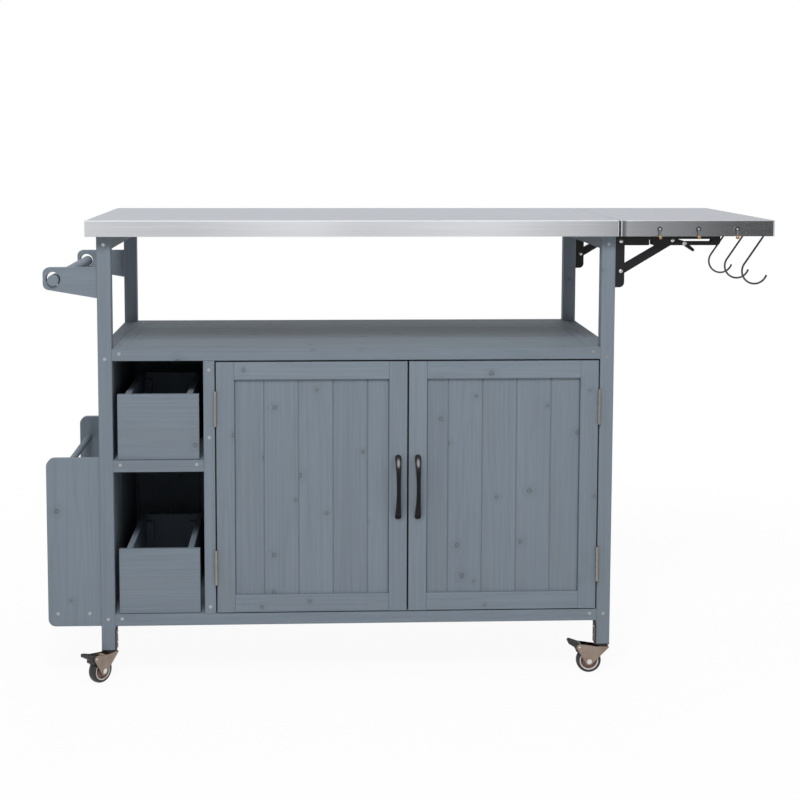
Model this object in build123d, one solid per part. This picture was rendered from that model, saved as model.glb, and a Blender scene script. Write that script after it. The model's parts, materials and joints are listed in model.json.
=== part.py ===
"""Outdoor kitchen cart with a stainless worktop, a folding leaf, a cupboard, two bins and four braked casters.

Millimetres. X runs along the cart to the leaf's end, Y from the front to the back, Z up from the floor.
The pieces are drawn from the front left leg: its outer face is X = 0 and its front face is Y = 0. At the end
everything moves so that the origin lies on the floor under the middle of the whole cart.
"""
from build123d import *
import math
import os

os.makedirs("parts", exist_ok=True)

# Frame
LEG = 27.0
FRAME_LENGTH = 1012.5
FRAME_DEPTH = 456.0
RAIL_HEIGHT = 23.0
RAIL_THICKNESS = 22.0
SHELF_TOP = 662.0
FLOOR_TOP = 133.0
BOARD = 12.0
PANEL_BOARD = 9.0
EASE = 1.0
GROOVE = 1.6
SIDE_RECESS = 13.0
TOP_RAIL_HEIGHT = 38.0
SHELF_END_STRIP = 25.0
SHELF_FRONT_BOARD = 147.0
SHELF_MIDDLE_BOARD = 140.0
PANEL_PITCH = 69.0

# Worktop and leaf
WORKTOP_TOP = 914.0
SKIRT = 31.0
SHEET = 1.5
CORE = 18.0
PAN_CORNER = 4.0
PAN_EDGE = 1.2
OVERHANG_LEFT = 19.0
OVERHANG_DEPTH = 22.0
OVERHANG_RIGHT = 2.5
LEAF_LENGTH = 304.5
LEAF_GAP = 2.0
HOOK_ROOM = 27.0

# Bins and the column that holds them
COLUMN_WIDTH = 177.0
DIVIDER_POST = 22.0
CUBBY_TOP = 442.0
BIN_WIDTH = 159.0
BIN_HEIGHT = 130.0
BIN_DEPTH = 280.0
BIN_RECESS = 5.0
BIN_FRONT_LIP = 13.0
BIN_BATTEN = 16.0
BIN_REST_GAP = 0.3

# Doors
DOOR_THICKNESS = 20.0
STILE = 36.0
DOOR_RAIL = 35.0
DOOR_TOP_GAP = 3.0
DOOR_FOOT_GAP = 2.0
DOOR_MIDDLE_GAP = 3.0
DOOR_BOARD_PITCH = 68.0
DOOR_OUTER_BOARD = 57.5
DOOR_BOARD_RECESS = 5.0

# Butt hinges
HINGE_LENGTH = 70.0
HINGE_FROM_END = 92.0
HINGE_GAP = 2.5
HINGE_LEAF = 1.1
HINGE_LEAF_DEPTH = 18.0
KNUCKLE_RADIUS = 3.0
KNUCKLE_OUT = 3.3
KNUCKLES = 5
KNUCKLE_PLAY = 0.2
HINGE_PIN_RADIUS = 1.5
RUNNING_FIT = 0.1

# Bow handles
HANDLE_LENGTH = 130.0
HANDLE_HEIGHT = 28.0
HANDLE_FOOT = 15.0
HANDLE_BOW = 8.0
HANDLE_END_WIDTH = 12.4
HANDLE_WAIST = 7.6

# Door catches
CATCH_LENGTH = 46.0
CATCH_DEPTH = 14.0
CATCH_HEIGHT = 28.0
STRIKE_LENGTH = 30.0
STRIKE_HEIGHT = 10.0
STRIKE_SHEET = 1.2
CATCH_AIR = 0.6
STRIKE_FROM_TOP = 4.0

# Towel bar and rack on the left end
SIDE_REACH = 104.0
SIDE_BOARD = 15.0
SIDE_BOARD_SETBACK = 3.0
TOWEL_BELOW_CORE = 72.5
TOWEL_BRACKET_TIP = 42.0
TOWEL_BRACKET_ROOT = 60.0
TOWEL_TIP_RADIUS = 12.0
TOWEL_HOLE_RADIUS = 14.0
TOWEL_BAR_RADIUS = 11.0
TOWEL_FROM_TIP = 20.0
TOWEL_BELOW_TOP = 22.5
TOWEL_BAR_OUT = 5.0
SEAT_GAP = 0.3
RACK_TOP = 446.0
RACK_CORNER = 15.0
RACK_FLOOR_FROM_FOOT = 18.0
RACK_ROD_RADIUS = 7.0
RACK_ROD_FROM_EDGE = 20.0
RACK_ROD_BELOW_TOP = 45.0
RACK_ROD_SOCKET = 8.0

# Folding brackets, measured from the arm's pivot
PIVOT_FROM_LEG = 11.0
PIVOT_BELOW_SKIRT = 11.0
STRUT_PIVOT_DROP = 59.0
PIN_RUN = 102.0
PIN_RISE = 1.5
ARM_LENGTH = 197.0
ARM_DROP = 8.2
STEEL = 1.6
ARM_HALF_WIDTH = 10.0
STRUT_HALF_WIDTH = 5.0
NEST_GAP = 0.4
PLATE_REACH = 18.0
PLATE_TOP = 8.5
PLATE_FOOT = 91.0
PLATE_CORNER = 10.0
STRUT_TAIL_RADIUS = 8.0
STRUT_HEAD_RADIUS = 7.4
PIVOT_RADIUS = 2.0
RIVET_HEAD_RADIUS = 4.0
RIVET_HEAD = 2.0
SLOT_RADIUS = 2.5
SLOT_END_PLAY = 1.0
NOTCH_PLAY = 0.5
NOTCH_FLARE = 1.5
ARM_END_RADIUS = 7.0
LEVER_RUN = 125.8
LEVER_DROP = 4.5
LEVER_SHEET = 2.0
LEVER_PIN_RADIUS = 2.0
LEVER_EYE_RADIUS = 4.4
LEVER_NOSE = (-16.0, 7.0)
LEVER_NOSE_RADIUS = 2.4
LEVER_TAIL = (17.5, -13.0)
LEVER_TAIL_RADIUS = 3.0

# Pegs and S-hooks on the leaf
PEG_HEAD_RADIUS = 5.5
PEG_HEAD = 2.5
PEG_WIRE_RADIUS = 2.0
PEG_OUT = 5.0
PEG_BALL_RADIUS = 3.8
PEG_BALL_BELOW_SKIRT = 1.5
PEG_BELOW_TOP = 17.0
PEG_BALL_OUT = 7.5
PEG_COUNT = 3
EYELET_BELOW_TOP = 14.0
EYELET_RADIUS = 5.5
EYELET_SHEET = 1.0
EYELET_HOLE_RADIUS = 2.4
HOOK_WIRE_RADIUS = 2.0
HOOK_CURL_RADIUS = 18.0
HOOK_BOWL_RADIUS = 26.0
HOOK_LEAN = 34.0
HOOK_STEM = 65.0
HOOK_CURL_END = 196.0
HOOK_BOWL_END = 342.0
HOOK_COUNT = 3

# Countersunk screws in the frame and round-headed ones in the caster mounts
SCREW_HEAD_RADIUS = 3.3
SCREW_HEAD = 2.2
SCREW_SHANK_RADIUS = 1.5
SCREW_LENGTH = 42.0
SCREW_SINK = 0.4
SCREW_PLAY = 0.05
RECESS_LENGTH = 3.8
RECESS_WIDTH = 1.0
RECESS_DEPTH = 1.2
TOP_SCREW_DROP = 28.5
SHELF_SCREW_DROP = 19.0
FLOOR_SCREW_DROP = 9.0
RAIL_SCREW_DROP = 8.5
RAIL_SCREW_INSET = 14.0
POST_SCREW_DROPS = (18.0, 152.0, 492.0)
RACK_SCREW_INSETS = (19.0, 81.0)
FLANGE_SCREW_RISES = (14.0, 33.0)
FLANGE_SCREW_LENGTH = 16.0

# Casters
CASTER_HEIGHT = 62.0
WHEEL_RADIUS = 25.0
WHEEL_WIDTH = 18.0
HUB_RADIUS = 17.0
HUB_BOSS_RADIUS = 7.0
HUB_BOSS_STEP = 0.5
HUB_RIM = 2.0
HUB_DISH = 5.0
TYRE_SHOULDER = 3.0
AXLE_RADIUS = 3.0
AXLE_HEAD_RADIUS = 5.0
AXLE_HEAD = 2.0
TRAIL = 26.0
FORK_SHEET = 1.8
FORK_SIDE_PLAY = 1.0
FORK_CROWN = 2.5
FORK_CROWN_REACH = 13.0
FORK_EYE_RADIUS = 8.0
MOUNT_PLATE = 2.0
MOUNT_FLANGE = 40.0
RACE_RADIUS = 13.0
RACE_HEIGHT = 4.5
SWIVEL_PLAY = 0.3
KING_PIN_RADIUS = 4.0
KING_HEAD_RADIUS = 7.0
KING_HEAD = 2.0
PEDAL_RUN = 46.0
PEDAL_HEIGHT = 54.0
PEDAL_EYE_RADIUS = 6.0
PEDAL_PIN_RADIUS = 2.0
PEDAL_SIDE_PLAY = 0.6
PEDAL_TAB = (-19.5, 9.5)
PEDAL_TAB_RADIUS = 3.6
PEDAL_SHOE = (-3.0, -7.0)
PEDAL_SHOE_RADIUS = 4.0
SWIVEL_TURNS = {"front_left": 52.0, "front_right": 0.0, "rear_left": 18.0, "rear_right": 24.0}

# Heights and faces that several pieces share
SKIRT_FOOT = WORKTOP_TOP - SKIRT
CORE_FOOT = WORKTOP_TOP - SHEET - CORE
TOWEL_BRACKET_TOP = CORE_FOOT - TOWEL_BELOW_CORE
SHELF_RAIL_FOOT = SHELF_TOP - RAIL_HEIGHT
FRAME_FOOT = FLOOR_TOP - RAIL_HEIGHT
CABINET_TOP = SHELF_TOP - BOARD
REAR_LEG_FRONT = FRAME_DEPTH - LEG
REAR_RAIL_FRONT = FRAME_DEPTH - RAIL_THICKNESS
BACK_PANEL_FRONT = REAR_RAIL_FRONT - PANEL_BOARD
RIGHT_LEG_INNER = FRAME_LENGTH - LEG
POST_LEFT = LEG + COLUMN_WIDTH
POST_RIGHT = POST_LEFT + DIVIDER_POST
DIVIDER_LEFT = (POST_LEFT + POST_RIGHT - PANEL_BOARD) / 2
PAN_FRONT = -OVERHANG_DEPTH
PAN_REAR = FRAME_DEPTH + OVERHANG_DEPTH
WORKTOP_RIGHT = FRAME_LENGTH + OVERHANG_RIGHT
LEAF_LEFT = WORKTOP_RIGHT + LEAF_GAP
LEAF_RIGHT = LEAF_LEFT + LEAF_LENGTH
DOOR_FOOT = FLOOR_TOP + DOOR_FOOT_GAP
DOOR_TOP = SHELF_RAIL_FOOT - DOOR_TOP_GAP
DOOR_SPAN = RIGHT_LEG_INNER - POST_RIGHT - 2 * HINGE_GAP - DOOR_MIDDLE_GAP
DOOR_WIDTH = DOOR_SPAN / 2
LEFT_HINGE_X = POST_RIGHT + HINGE_GAP / 2
RIGHT_HINGE_X = RIGHT_LEG_INNER - HINGE_GAP / 2
PIVOT_X = FRAME_LENGTH + PIVOT_FROM_LEG
PIVOT_Z = SKIRT_FOOT - PIVOT_BELOW_SKIRT
BRACKET_MIDDLES = {"front": LEG / 2, "rear": FRAME_DEPTH - LEG / 2}
LEG_SPOTS = {
    "front_left": (LEG / 2, LEG / 2),
    "front_right": (FRAME_LENGTH - LEG / 2, LEG / 2),
    "rear_left": (LEG / 2, FRAME_DEPTH - LEG / 2),
    "rear_right": (FRAME_LENGTH - LEG / 2, FRAME_DEPTH - LEG / 2),
}

nodes = {}


def block(x0, x1, y0, y1, z0, z1):
    """A plate or bar between six faces."""
    return Pos((x0 + x1) / 2, (y0 + y1) / 2, (z0 + z1) / 2) * Box(x1 - x0, y1 - y0, z1 - z0)


def board(x0, x1, y0, y1, z0, z1, ease=EASE):
    """A planed board whose four long edges are eased."""
    sizes = {Axis.X: x1 - x0, Axis.Y: y1 - y0, Axis.Z: z1 - z0}
    grain = max(sizes, key=sizes.get)
    plain = block(x0, x1, y0, y1, z0, z1)
    return chamfer(plain.edges().filter_by(grain), ease)


def from_front(outline, y0, y1):
    """A front-view outline, drawn in x and z, made solid between two depths."""
    return extrude(Plane.XZ.offset(-y1) * outline, amount=y1 - y0)


def cross_pin(x, z, radius, y0, y1):
    """A round pin along Y."""
    return from_front(Pos(x, z) * Circle(radius), y0, y1)


def capsule(first, first_radius, second, second_radius):
    """The outline that wraps two circles."""
    start = Pos(*first) * Circle(first_radius)
    end = Pos(*second) * Circle(second_radius)
    return make_hull(start.edges() + end.edges())


def shifted(point, offset):
    """A point moved by an offset in x and z."""
    return (point[0] + offset[0], point[1] + offset[1])


def keep(name, *solids):
    """Stores the solids of one node."""
    nodes[name] = list(solids)


# Frame

def make_frame():
    for row, y0 in (("front", 0.0), ("rear", REAR_LEG_FRONT)):
        legs = [
            board(x0, x0 + LEG, y0, y0 + LEG, CASTER_HEIGHT, CORE_FOOT)
            for x0 in (0.0, RIGHT_LEG_INNER)
        ]
        keep(f"{row}_legs", *legs)
    keep("top_rails", *side_rails(CORE_FOOT - TOP_RAIL_HEIGHT, CORE_FOOT))
    keep("shelf_rails", *rail_ring(SHELF_RAIL_FOOT, SHELF_TOP))
    keep("bottom_rails", *rail_ring(FRAME_FOOT, FLOOR_TOP))


def side_rails(z0, z1):
    """The two rails that tie a front leg to the rear leg behind it."""
    return [
        board(x0, x0 + LEG, LEG, REAR_LEG_FRONT, z0, z1)
        for x0 in (0.0, RIGHT_LEG_INNER)
    ]


def rail_ring(z0, z1):
    """Front, rear and side rails at one height."""
    long_rails = [
        board(LEG, RIGHT_LEG_INNER, y0, y0 + RAIL_THICKNESS, z0, z1)
        for y0 in (0.0, REAR_RAIL_FRONT)
    ]
    return long_rails + side_rails(z0, z1)


def make_shelf_and_floor():
    strip_left = LEG + SHELF_END_STRIP
    strip_right = RIGHT_LEG_INNER - SHELF_END_STRIP
    front_seam = RAIL_THICKNESS + SHELF_FRONT_BOARD
    rear_seam = front_seam + SHELF_MIDDLE_BOARD
    edges = [RAIL_THICKNESS, front_seam, rear_seam, REAR_RAIL_FRONT]
    boards = [
        board(strip_left, strip_right, y0, y1, CABINET_TOP, SHELF_TOP)
        for y0, y1 in zip(edges, edges[1:])
    ]
    strips = [
        board(x0, x1, RAIL_THICKNESS, REAR_RAIL_FRONT, CABINET_TOP, SHELF_TOP)
        for x0, x1 in ((LEG, strip_left), (strip_right, RIGHT_LEG_INNER))
    ]
    keep("shelf_boards", *boards, *strips)
    floor = [
        board(LEG, RIGHT_LEG_INNER, y0, y1, FLOOR_TOP - BOARD, FLOOR_TOP)
        for y0, y1 in zip(edges, edges[1:])
    ]
    keep("cabinet_floor", *floor)


def upright_boards(start, end, pitch, make):
    """Matched boards side by side, the last one cut to fit."""
    count = math.ceil((end - start) / pitch)
    seams = [start + pitch * i for i in range(count)] + [end]
    return [make(a, b) for a, b in zip(seams, seams[1:])]


def make_panels():
    back = upright_boards(
        LEG, RIGHT_LEG_INNER, PANEL_PITCH,
        lambda a, b: board(a, b, BACK_PANEL_FRONT, REAR_RAIL_FRONT, FLOOR_TOP, CABINET_TOP, GROOVE),
    )
    keep("back_panel", *back)
    sides = []
    for x0 in (SIDE_RECESS, FRAME_LENGTH - SIDE_RECESS - PANEL_BOARD):
        sides += upright_boards(
            LEG, REAR_LEG_FRONT, PANEL_PITCH,
            lambda a, b, x0=x0: board(x0, x0 + PANEL_BOARD, a, b, FLOOR_TOP, SHELF_RAIL_FOOT, GROOVE),
        )
    keep("side_panels", *sides)


def make_column():
    keep("divider_post", board(POST_LEFT, POST_RIGHT, 0.0, RAIL_THICKNESS, FLOOR_TOP, SHELF_RAIL_FOOT))
    divider_right = DIVIDER_LEFT + PANEL_BOARD
    keep("divider_panel", block(
        DIVIDER_LEFT, divider_right, RAIL_THICKNESS, BACK_PANEL_FRONT, FLOOR_TOP, CABINET_TOP))
    rail = board(LEG, POST_LEFT, 0.0, RAIL_THICKNESS, CUBBY_TOP - RAIL_HEIGHT, CUBBY_TOP)
    shelf = board(LEG, DIVIDER_LEFT, RAIL_THICKNESS, BACK_PANEL_FRONT, CUBBY_TOP - BOARD, CUBBY_TOP)
    keep("cubby_shelf", rail, shelf)


# Bins

def make_bin(name, shelf):
    """An open box whose front board stands wider than its sides."""
    foot = shelf + BIN_REST_GAP
    top = foot + BIN_HEIGHT
    middle = (LEG + POST_LEFT) / 2
    left = middle - BIN_WIDTH / 2
    right = middle + BIN_WIDTH / 2
    side_left = left + BIN_FRONT_LIP
    side_right = right - BIN_FRONT_LIP
    inner_left = side_left + BOARD
    inner_right = side_right - BOARD
    front_rear = BIN_RECESS + BOARD
    rear = BIN_RECESS + BIN_DEPTH
    inner_rear = rear - BOARD
    inner_foot = foot + PANEL_BOARD
    pieces = [
        board(left, right, BIN_RECESS, front_rear, foot, top),
        board(side_left, inner_left, front_rear, rear, foot, top),
        board(inner_right, side_right, front_rear, rear, foot, top),
        board(inner_left, inner_right, inner_rear, rear, foot, top),
        block(inner_left, inner_right, front_rear, inner_rear, foot, inner_foot),
    ]
    for x0 in (inner_left, inner_right - BIN_BATTEN):
        for y0 in (front_rear, inner_rear - BIN_BATTEN):
            pieces.append(board(x0, x0 + BIN_BATTEN, y0, y0 + BIN_BATTEN, inner_foot, top - BOARD))
    keep(name, *pieces)


# Worktop and leaf

def pan(x0, x1):
    """A sheet folded down on four sides, open underneath."""
    outer = block(x0, x1, PAN_FRONT, PAN_REAR, SKIRT_FOOT, WORKTOP_TOP)
    outer = fillet(outer.edges().filter_by(Axis.Z), PAN_CORNER)
    outer = fillet(outer.faces().sort_by(Axis.Z)[-1].edges(), PAN_EDGE)
    inner = block(
        x0 + SHEET, x1 - SHEET, PAN_FRONT + SHEET, PAN_REAR - SHEET, SKIRT_FOOT, WORKTOP_TOP - SHEET)
    inner = fillet(inner.edges().filter_by(Axis.Z), PAN_CORNER - SHEET)
    return outer - inner


def core(x0, x1):
    """The board under a pan's sheet."""
    plain = block(x0, x1, PAN_FRONT + SHEET, PAN_REAR - SHEET, CORE_FOOT, WORKTOP_TOP - SHEET)
    return chamfer(plain.edges().filter_by(Axis.Z), PAN_CORNER - SHEET)


def make_worktop():
    keep("worktop_pan", pan(-OVERHANG_LEFT, WORKTOP_RIGHT))
    keep("worktop_core", core(-OVERHANG_LEFT + SHEET, WORKTOP_RIGHT - SHEET))


def peg_depths(count):
    """Even stations across the leaf's depth."""
    step = (PAN_REAR - PAN_FRONT) / (count + 1)
    return [PAN_FRONT + step * (i + 1) for i in range(count)]


def make_leaf():
    eyelet_z = WORKTOP_TOP - EYELET_BELOW_TOP
    sheet = pan(LEAF_LEFT, LEAF_RIGHT)
    eyelets = []
    for y in peg_depths(HOOK_COUNT):
        across = Pos(LEAF_RIGHT, y, eyelet_z) * Rot(0, 90, 0)
        hole = across * Cylinder(EYELET_HOLE_RADIUS, 4 * SHEET)
        sheet = sheet - hole
        ring = Pos(LEAF_RIGHT + EYELET_SHEET / 2, y, eyelet_z) * Rot(0, 90, 0)
        eyelets.append(ring * Cylinder(EYELET_RADIUS, EYELET_SHEET) - hole)
    keep("leaf_pan", sheet)
    keep("leaf_eyelets", *eyelets)
    cleats = [
        block(LEAF_LEFT + SHEET, PIVOT_X + ARM_LENGTH, y - LEG / 2, y + LEG / 2, SKIRT_FOOT, CORE_FOOT)
        for y in BRACKET_MIDDLES.values()
    ]
    keep("leaf_core", core(LEAF_LEFT + SHEET, LEAF_RIGHT - HOOK_ROOM), *cleats)
    step = LEAF_LENGTH / (PEG_COUNT + 1)
    keep("leaf_pegs", *[leaf_peg(LEAF_LEFT + step * (i + 1)) for i in range(PEG_COUNT)])


def leaf_peg(x):
    """A round-headed peg that drops in front of the skirt to a ball tip."""
    head_z = WORKTOP_TOP - PEG_BELOW_TOP
    ball_z = SKIRT_FOOT - PEG_BALL_BELOW_SKIRT
    stem_y = PAN_FRONT - PEG_OUT
    head = cross_pin(x, head_z, PEG_HEAD_RADIUS, PAN_FRONT - PEG_HEAD, PAN_FRONT)
    neck = cross_pin(x, head_z, PEG_WIRE_RADIUS, stem_y, PAN_FRONT)
    shoulder = Pos(x, stem_y, head_z) * Sphere(PEG_WIRE_RADIUS)
    stem = Pos(x, stem_y, (head_z + ball_z) / 2) * Cylinder(PEG_WIRE_RADIUS, head_z - ball_z)
    ball = Pos(x, PAN_FRONT - PEG_BALL_OUT, ball_z) * Sphere(PEG_BALL_RADIUS)
    return head + neck + shoulder + stem + ball


def hook_centres():
    """Where each hook's upper curl is centred: the curl runs through its eyelet at the top."""
    z = WORKTOP_TOP - EYELET_BELOW_TOP - HOOK_CURL_RADIUS
    return [(LEAF_RIGHT - SHEET / 2, y, z) for y in peg_depths(HOOK_COUNT)]


def make_hooks():
    lean = math.radians(HOOK_LEAN)
    curl = CenterArc((0, 0), HOOK_CURL_RADIUS, HOOK_CURL_END, -(HOOK_CURL_END + HOOK_LEAN))
    down = Vector(-math.sin(lean), -math.cos(lean))
    stem_foot = (curl @ 1) + down * HOOK_STEM
    stem = Line(curl @ 1, stem_foot)
    inward = Vector(math.cos(lean), -math.sin(lean))
    bowl_start = 180 - HOOK_LEAN
    bowl = CenterArc(
        stem_foot + inward * HOOK_BOWL_RADIUS, HOOK_BOWL_RADIUS, bowl_start, HOOK_BOWL_END - bowl_start)
    line = Wire([curl.edge(), stem.edge(), bowl.edge()])
    wire = sweep(Plane(origin=line @ 0, z_dir=line % 0) * Circle(HOOK_WIRE_RADIUS), path=line)
    upright = Rot(90, 0, 0) * wire
    for name, centre in zip(("front", "middle", "rear"), hook_centres()):
        keep(f"{name}_s_hook", Pos(*centre) * upright)


# Folding brackets

def slot_travel():
    """How far from the arm's pivot the cross pin lies when the leaf is raised and when it hangs."""
    length = math.hypot(PIN_RUN, STRUT_PIVOT_DROP + PIN_RISE)
    hanging = STRUT_PIVOT_DROP + math.sqrt(length**2 - PIN_RISE**2)
    return PIN_RUN, hanging


def wall_plate(middle):
    """A channel on the leg's outer face that carries the arm's and the strut's pivots."""
    half = ARM_HALF_WIDTH + NEST_GAP + STEEL
    top = PIVOT_Z + PLATE_TOP
    foot = PIVOT_Z - PLATE_FOOT
    leg_face = FRAME_LENGTH
    web = block(leg_face, leg_face + STEEL, middle - half, middle + half, foot, top)
    outline = Pos(leg_face + PLATE_REACH / 2, (top + foot) / 2) * Rectangle(PLATE_REACH, top - foot)
    outer_corners = outline.vertices().sort_by(Axis.X)[-2:]
    outline = fillet(outer_corners.sort_by(Axis.Y)[:1], PLATE_CORNER)
    for z in (PIVOT_Z, PIVOT_Z - STRUT_PIVOT_DROP):
        outline = outline - Pos(PIVOT_X, z) * Circle(PIVOT_RADIUS + RUNNING_FIT / 2)
    near = from_front(outline, middle - half, middle - half + STEEL)
    far = from_front(outline, middle + half - STEEL, middle + half)
    return web + near + far


def plate_rivet(middle, z):
    """A pivot rivet with a domed head outside each wall of the plate."""
    half = ARM_HALF_WIDTH + NEST_GAP + STEEL
    shank = cross_pin(PIVOT_X, z, PIVOT_RADIUS, middle - half, middle + half)
    near = rivet_dome(PIVOT_X, middle - half, z, -1)
    far = rivet_dome(PIVOT_X, middle + half, z, 1)
    return shank + near + far


def rivet_dome(x, y, z, outward):
    """A domed head on the face at one depth."""
    ball_radius = (RIVET_HEAD_RADIUS**2 + RIVET_HEAD**2) / (2 * RIVET_HEAD)
    ball = Pos(x, y + outward * (RIVET_HEAD - ball_radius), z) * Sphere(ball_radius)
    reach = sorted((y, y + outward * RIVET_HEAD))
    return ball & cross_pin(x, z, RIVET_HEAD_RADIUS, *reach)


def leaf_arm(middle):
    """A slotted channel under the leaf; the slot guides the strut's cross pin."""
    top = PIVOT_BELOW_SKIRT
    height = top + ARM_DROP
    body = Pos(ARM_LENGTH / 2, (top - ARM_DROP) / 2) * Rectangle(ARM_LENGTH, height)
    far_corners = body.vertices().sort_by(Axis.X)[-2:]
    body = fillet(far_corners.sort_by(Axis.Y)[:1], ARM_END_RADIUS)
    eye = Circle(ARM_DROP) + Pos(-ARM_DROP / 2, top / 2) * Rectangle(ARM_DROP, top)
    near_end, far_end = slot_travel()
    slot_start = near_end - SLOT_END_PLAY
    slot_end = far_end + SLOT_END_PLAY
    slot = Pos((slot_start + slot_end) / 2, PIN_RISE) * SlotCenterToCenter(
        slot_end - slot_start, 2 * SLOT_RADIUS)
    cheek = body + eye - slot - rivet_notch() - Circle(PIVOT_RADIUS + RUNNING_FIT)
    lever_hole = Pos(LEVER_RUN, -LEVER_DROP) * Circle(LEVER_PIN_RADIUS + RUNNING_FIT / 2)
    place = Pos(PIVOT_X, 0, PIVOT_Z)
    near = from_front(cheek - lever_hole, middle - ARM_HALF_WIDTH, middle - ARM_HALF_WIDTH + STEEL)
    far = from_front(cheek, middle + ARM_HALF_WIDTH - STEEL, middle + ARM_HALF_WIDTH)
    web = block(
        -ARM_DROP, ARM_LENGTH, middle - ARM_HALF_WIDTH, middle + ARM_HALF_WIDTH, top - STEEL, top)
    return place * (web + near + far)


def rivet_notch():
    """The cut that takes in the strut's rivet when the leaf hangs, flared at its mouth."""
    room = PIVOT_RADIUS + NOTCH_PLAY
    left = math.sqrt(STRUT_PIVOT_DROP**2 - ARM_DROP**2) - room
    right = STRUT_PIVOT_DROP + room
    throat = NOTCH_FLARE - ARM_DROP
    return make_face(Polyline(
        (left, room), (right, room), (right, throat), (right + NOTCH_FLARE, -ARM_DROP),
        (left - NOTCH_FLARE, -ARM_DROP), (left, throat), close=True))


def lever_rivet(middle):
    """The rivet that holds the release lever inside the arm's front wall."""
    x = PIVOT_X + LEVER_RUN
    z = PIVOT_Z - LEVER_DROP
    wall = middle - ARM_HALF_WIDTH
    lever_rear = wall + STEEL + NEST_GAP + LEVER_SHEET
    shank = cross_pin(x, z, LEVER_PIN_RADIUS, wall - RIVET_HEAD / 2, lever_rear + NEST_GAP / 2)
    head = cross_pin(x, z, LEVER_EYE_RADIUS, wall - RIVET_HEAD / 2, wall)
    return shank + head


def release_lever(middle):
    """A bent tab whose nose stands before the cross pin and whose tail is pressed by hand."""
    pivot = (LEVER_RUN, -LEVER_DROP)
    nose = capsule(pivot, LEVER_EYE_RADIUS, shifted(pivot, LEVER_NOSE), LEVER_NOSE_RADIUS)
    tail = capsule(pivot, LEVER_EYE_RADIUS, shifted(pivot, LEVER_TAIL), LEVER_TAIL_RADIUS)
    outline = nose + tail - Pos(*pivot) * Circle(LEVER_PIN_RADIUS + RUNNING_FIT)
    front = middle - ARM_HALF_WIDTH + STEEL + NEST_GAP
    return Pos(PIVOT_X, 0, PIVOT_Z) * from_front(outline, front, front + LEVER_SHEET)


def strut(middle):
    """Two steel bars joined by a web, with a cross pin that runs in the arm's slot."""
    tail = (0.0, -STRUT_PIVOT_DROP)
    head = (PIN_RUN, PIN_RISE)
    bar = capsule(tail, STRUT_TAIL_RADIUS, head, STRUT_HEAD_RADIUS)
    bar = bar - Pos(*tail) * Circle(PIVOT_RADIUS + RUNNING_FIT)
    near = from_front(bar, middle - STRUT_HALF_WIDTH, middle - STRUT_HALF_WIDTH + STEEL)
    far = from_front(bar, middle + STRUT_HALF_WIDTH - STEEL, middle + STRUT_HALF_WIDTH)
    run = head[0] - tail[0]
    rise = head[1] - tail[1]
    length = math.hypot(run, rise)
    web_length = length - 2 * (STRUT_TAIL_RADIUS + STRUT_HEAD_RADIUS)
    web_drop = STRUT_HEAD_RADIUS - STEEL
    tilt = math.degrees(math.atan2(rise, run))
    web_outline = Pos((head[0] + tail[0]) / 2, (head[1] + tail[1]) / 2) * Rot(0, 0, tilt)
    web_outline = web_outline * Pos(0, -web_drop) * Rectangle(web_length, STEEL)
    web = from_front(web_outline, middle - STRUT_HALF_WIDTH, middle + STRUT_HALF_WIDTH)
    pin = cross_pin(*head, PIVOT_RADIUS, middle - STRUT_HALF_WIDTH, middle + STRUT_HALF_WIDTH)
    return Pos(PIVOT_X, 0, PIVOT_Z) * (near + far + web + pin)


def make_brackets():
    middles = BRACKET_MIDDLES.values()
    keep("bracket_wall_plates", *[wall_plate(y) for y in middles])
    pivots = (PIVOT_Z, PIVOT_Z - STRUT_PIVOT_DROP)
    keep("bracket_rivets", *[plate_rivet(y, z) for y in middles for z in pivots])
    keep("leaf_arms", *[leaf_arm(y) for y in middles], *[lever_rivet(y) for y in middles])
    for row, y in BRACKET_MIDDLES.items():
        keep(f"{row}_strut", strut(y))
        keep(f"{row}_release_lever", release_lever(y))


# Doors

def hinge_levels():
    return (DOOR_FOOT + HINGE_FROM_END, DOOR_TOP - HINGE_FROM_END)


def knuckle_spans(middle, first):
    """Every second knuckle of a hinge, counted from the foot."""
    step = HINGE_LENGTH / KNUCKLES
    foot = middle - HINGE_LENGTH / 2
    spans = []
    for i in range(first, KNUCKLES, 2):
        spans.append((foot + step * i + KNUCKLE_PLAY, foot + step * (i + 1) - KNUCKLE_PLAY))
    return spans


def hinge_leaf(axis_x, plate_x, toward, middle, first, bore):
    """One leaf of a butt hinge: a plate in the gap, and its knuckles round the pin."""
    x0, x1 = sorted((plate_x, plate_x + toward * HINGE_LEAF))
    solid = block(
        x0, x1, KNUCKLE_PLAY, HINGE_LEAF_DEPTH, middle - HINGE_LENGTH / 2, middle + HINGE_LENGTH / 2)
    for z0, z1 in knuckle_spans(middle, first):
        barrel = Pos(axis_x, -KNUCKLE_OUT, (z0 + z1) / 2) * Cylinder(KNUCKLE_RADIUS, z1 - z0)
        tab = block(x0, x1, -KNUCKLE_OUT, KNUCKLE_PLAY, z0, z1)
        solid = solid + barrel + tab
    pin_radius = HINGE_PIN_RADIUS + (RUNNING_FIT if bore else 0.0)
    pin = Pos(axis_x, -KNUCKLE_OUT, middle) * Cylinder(pin_radius, HINGE_LENGTH - 2 * KNUCKLE_PLAY)
    return solid - pin if bore else solid + pin


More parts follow.
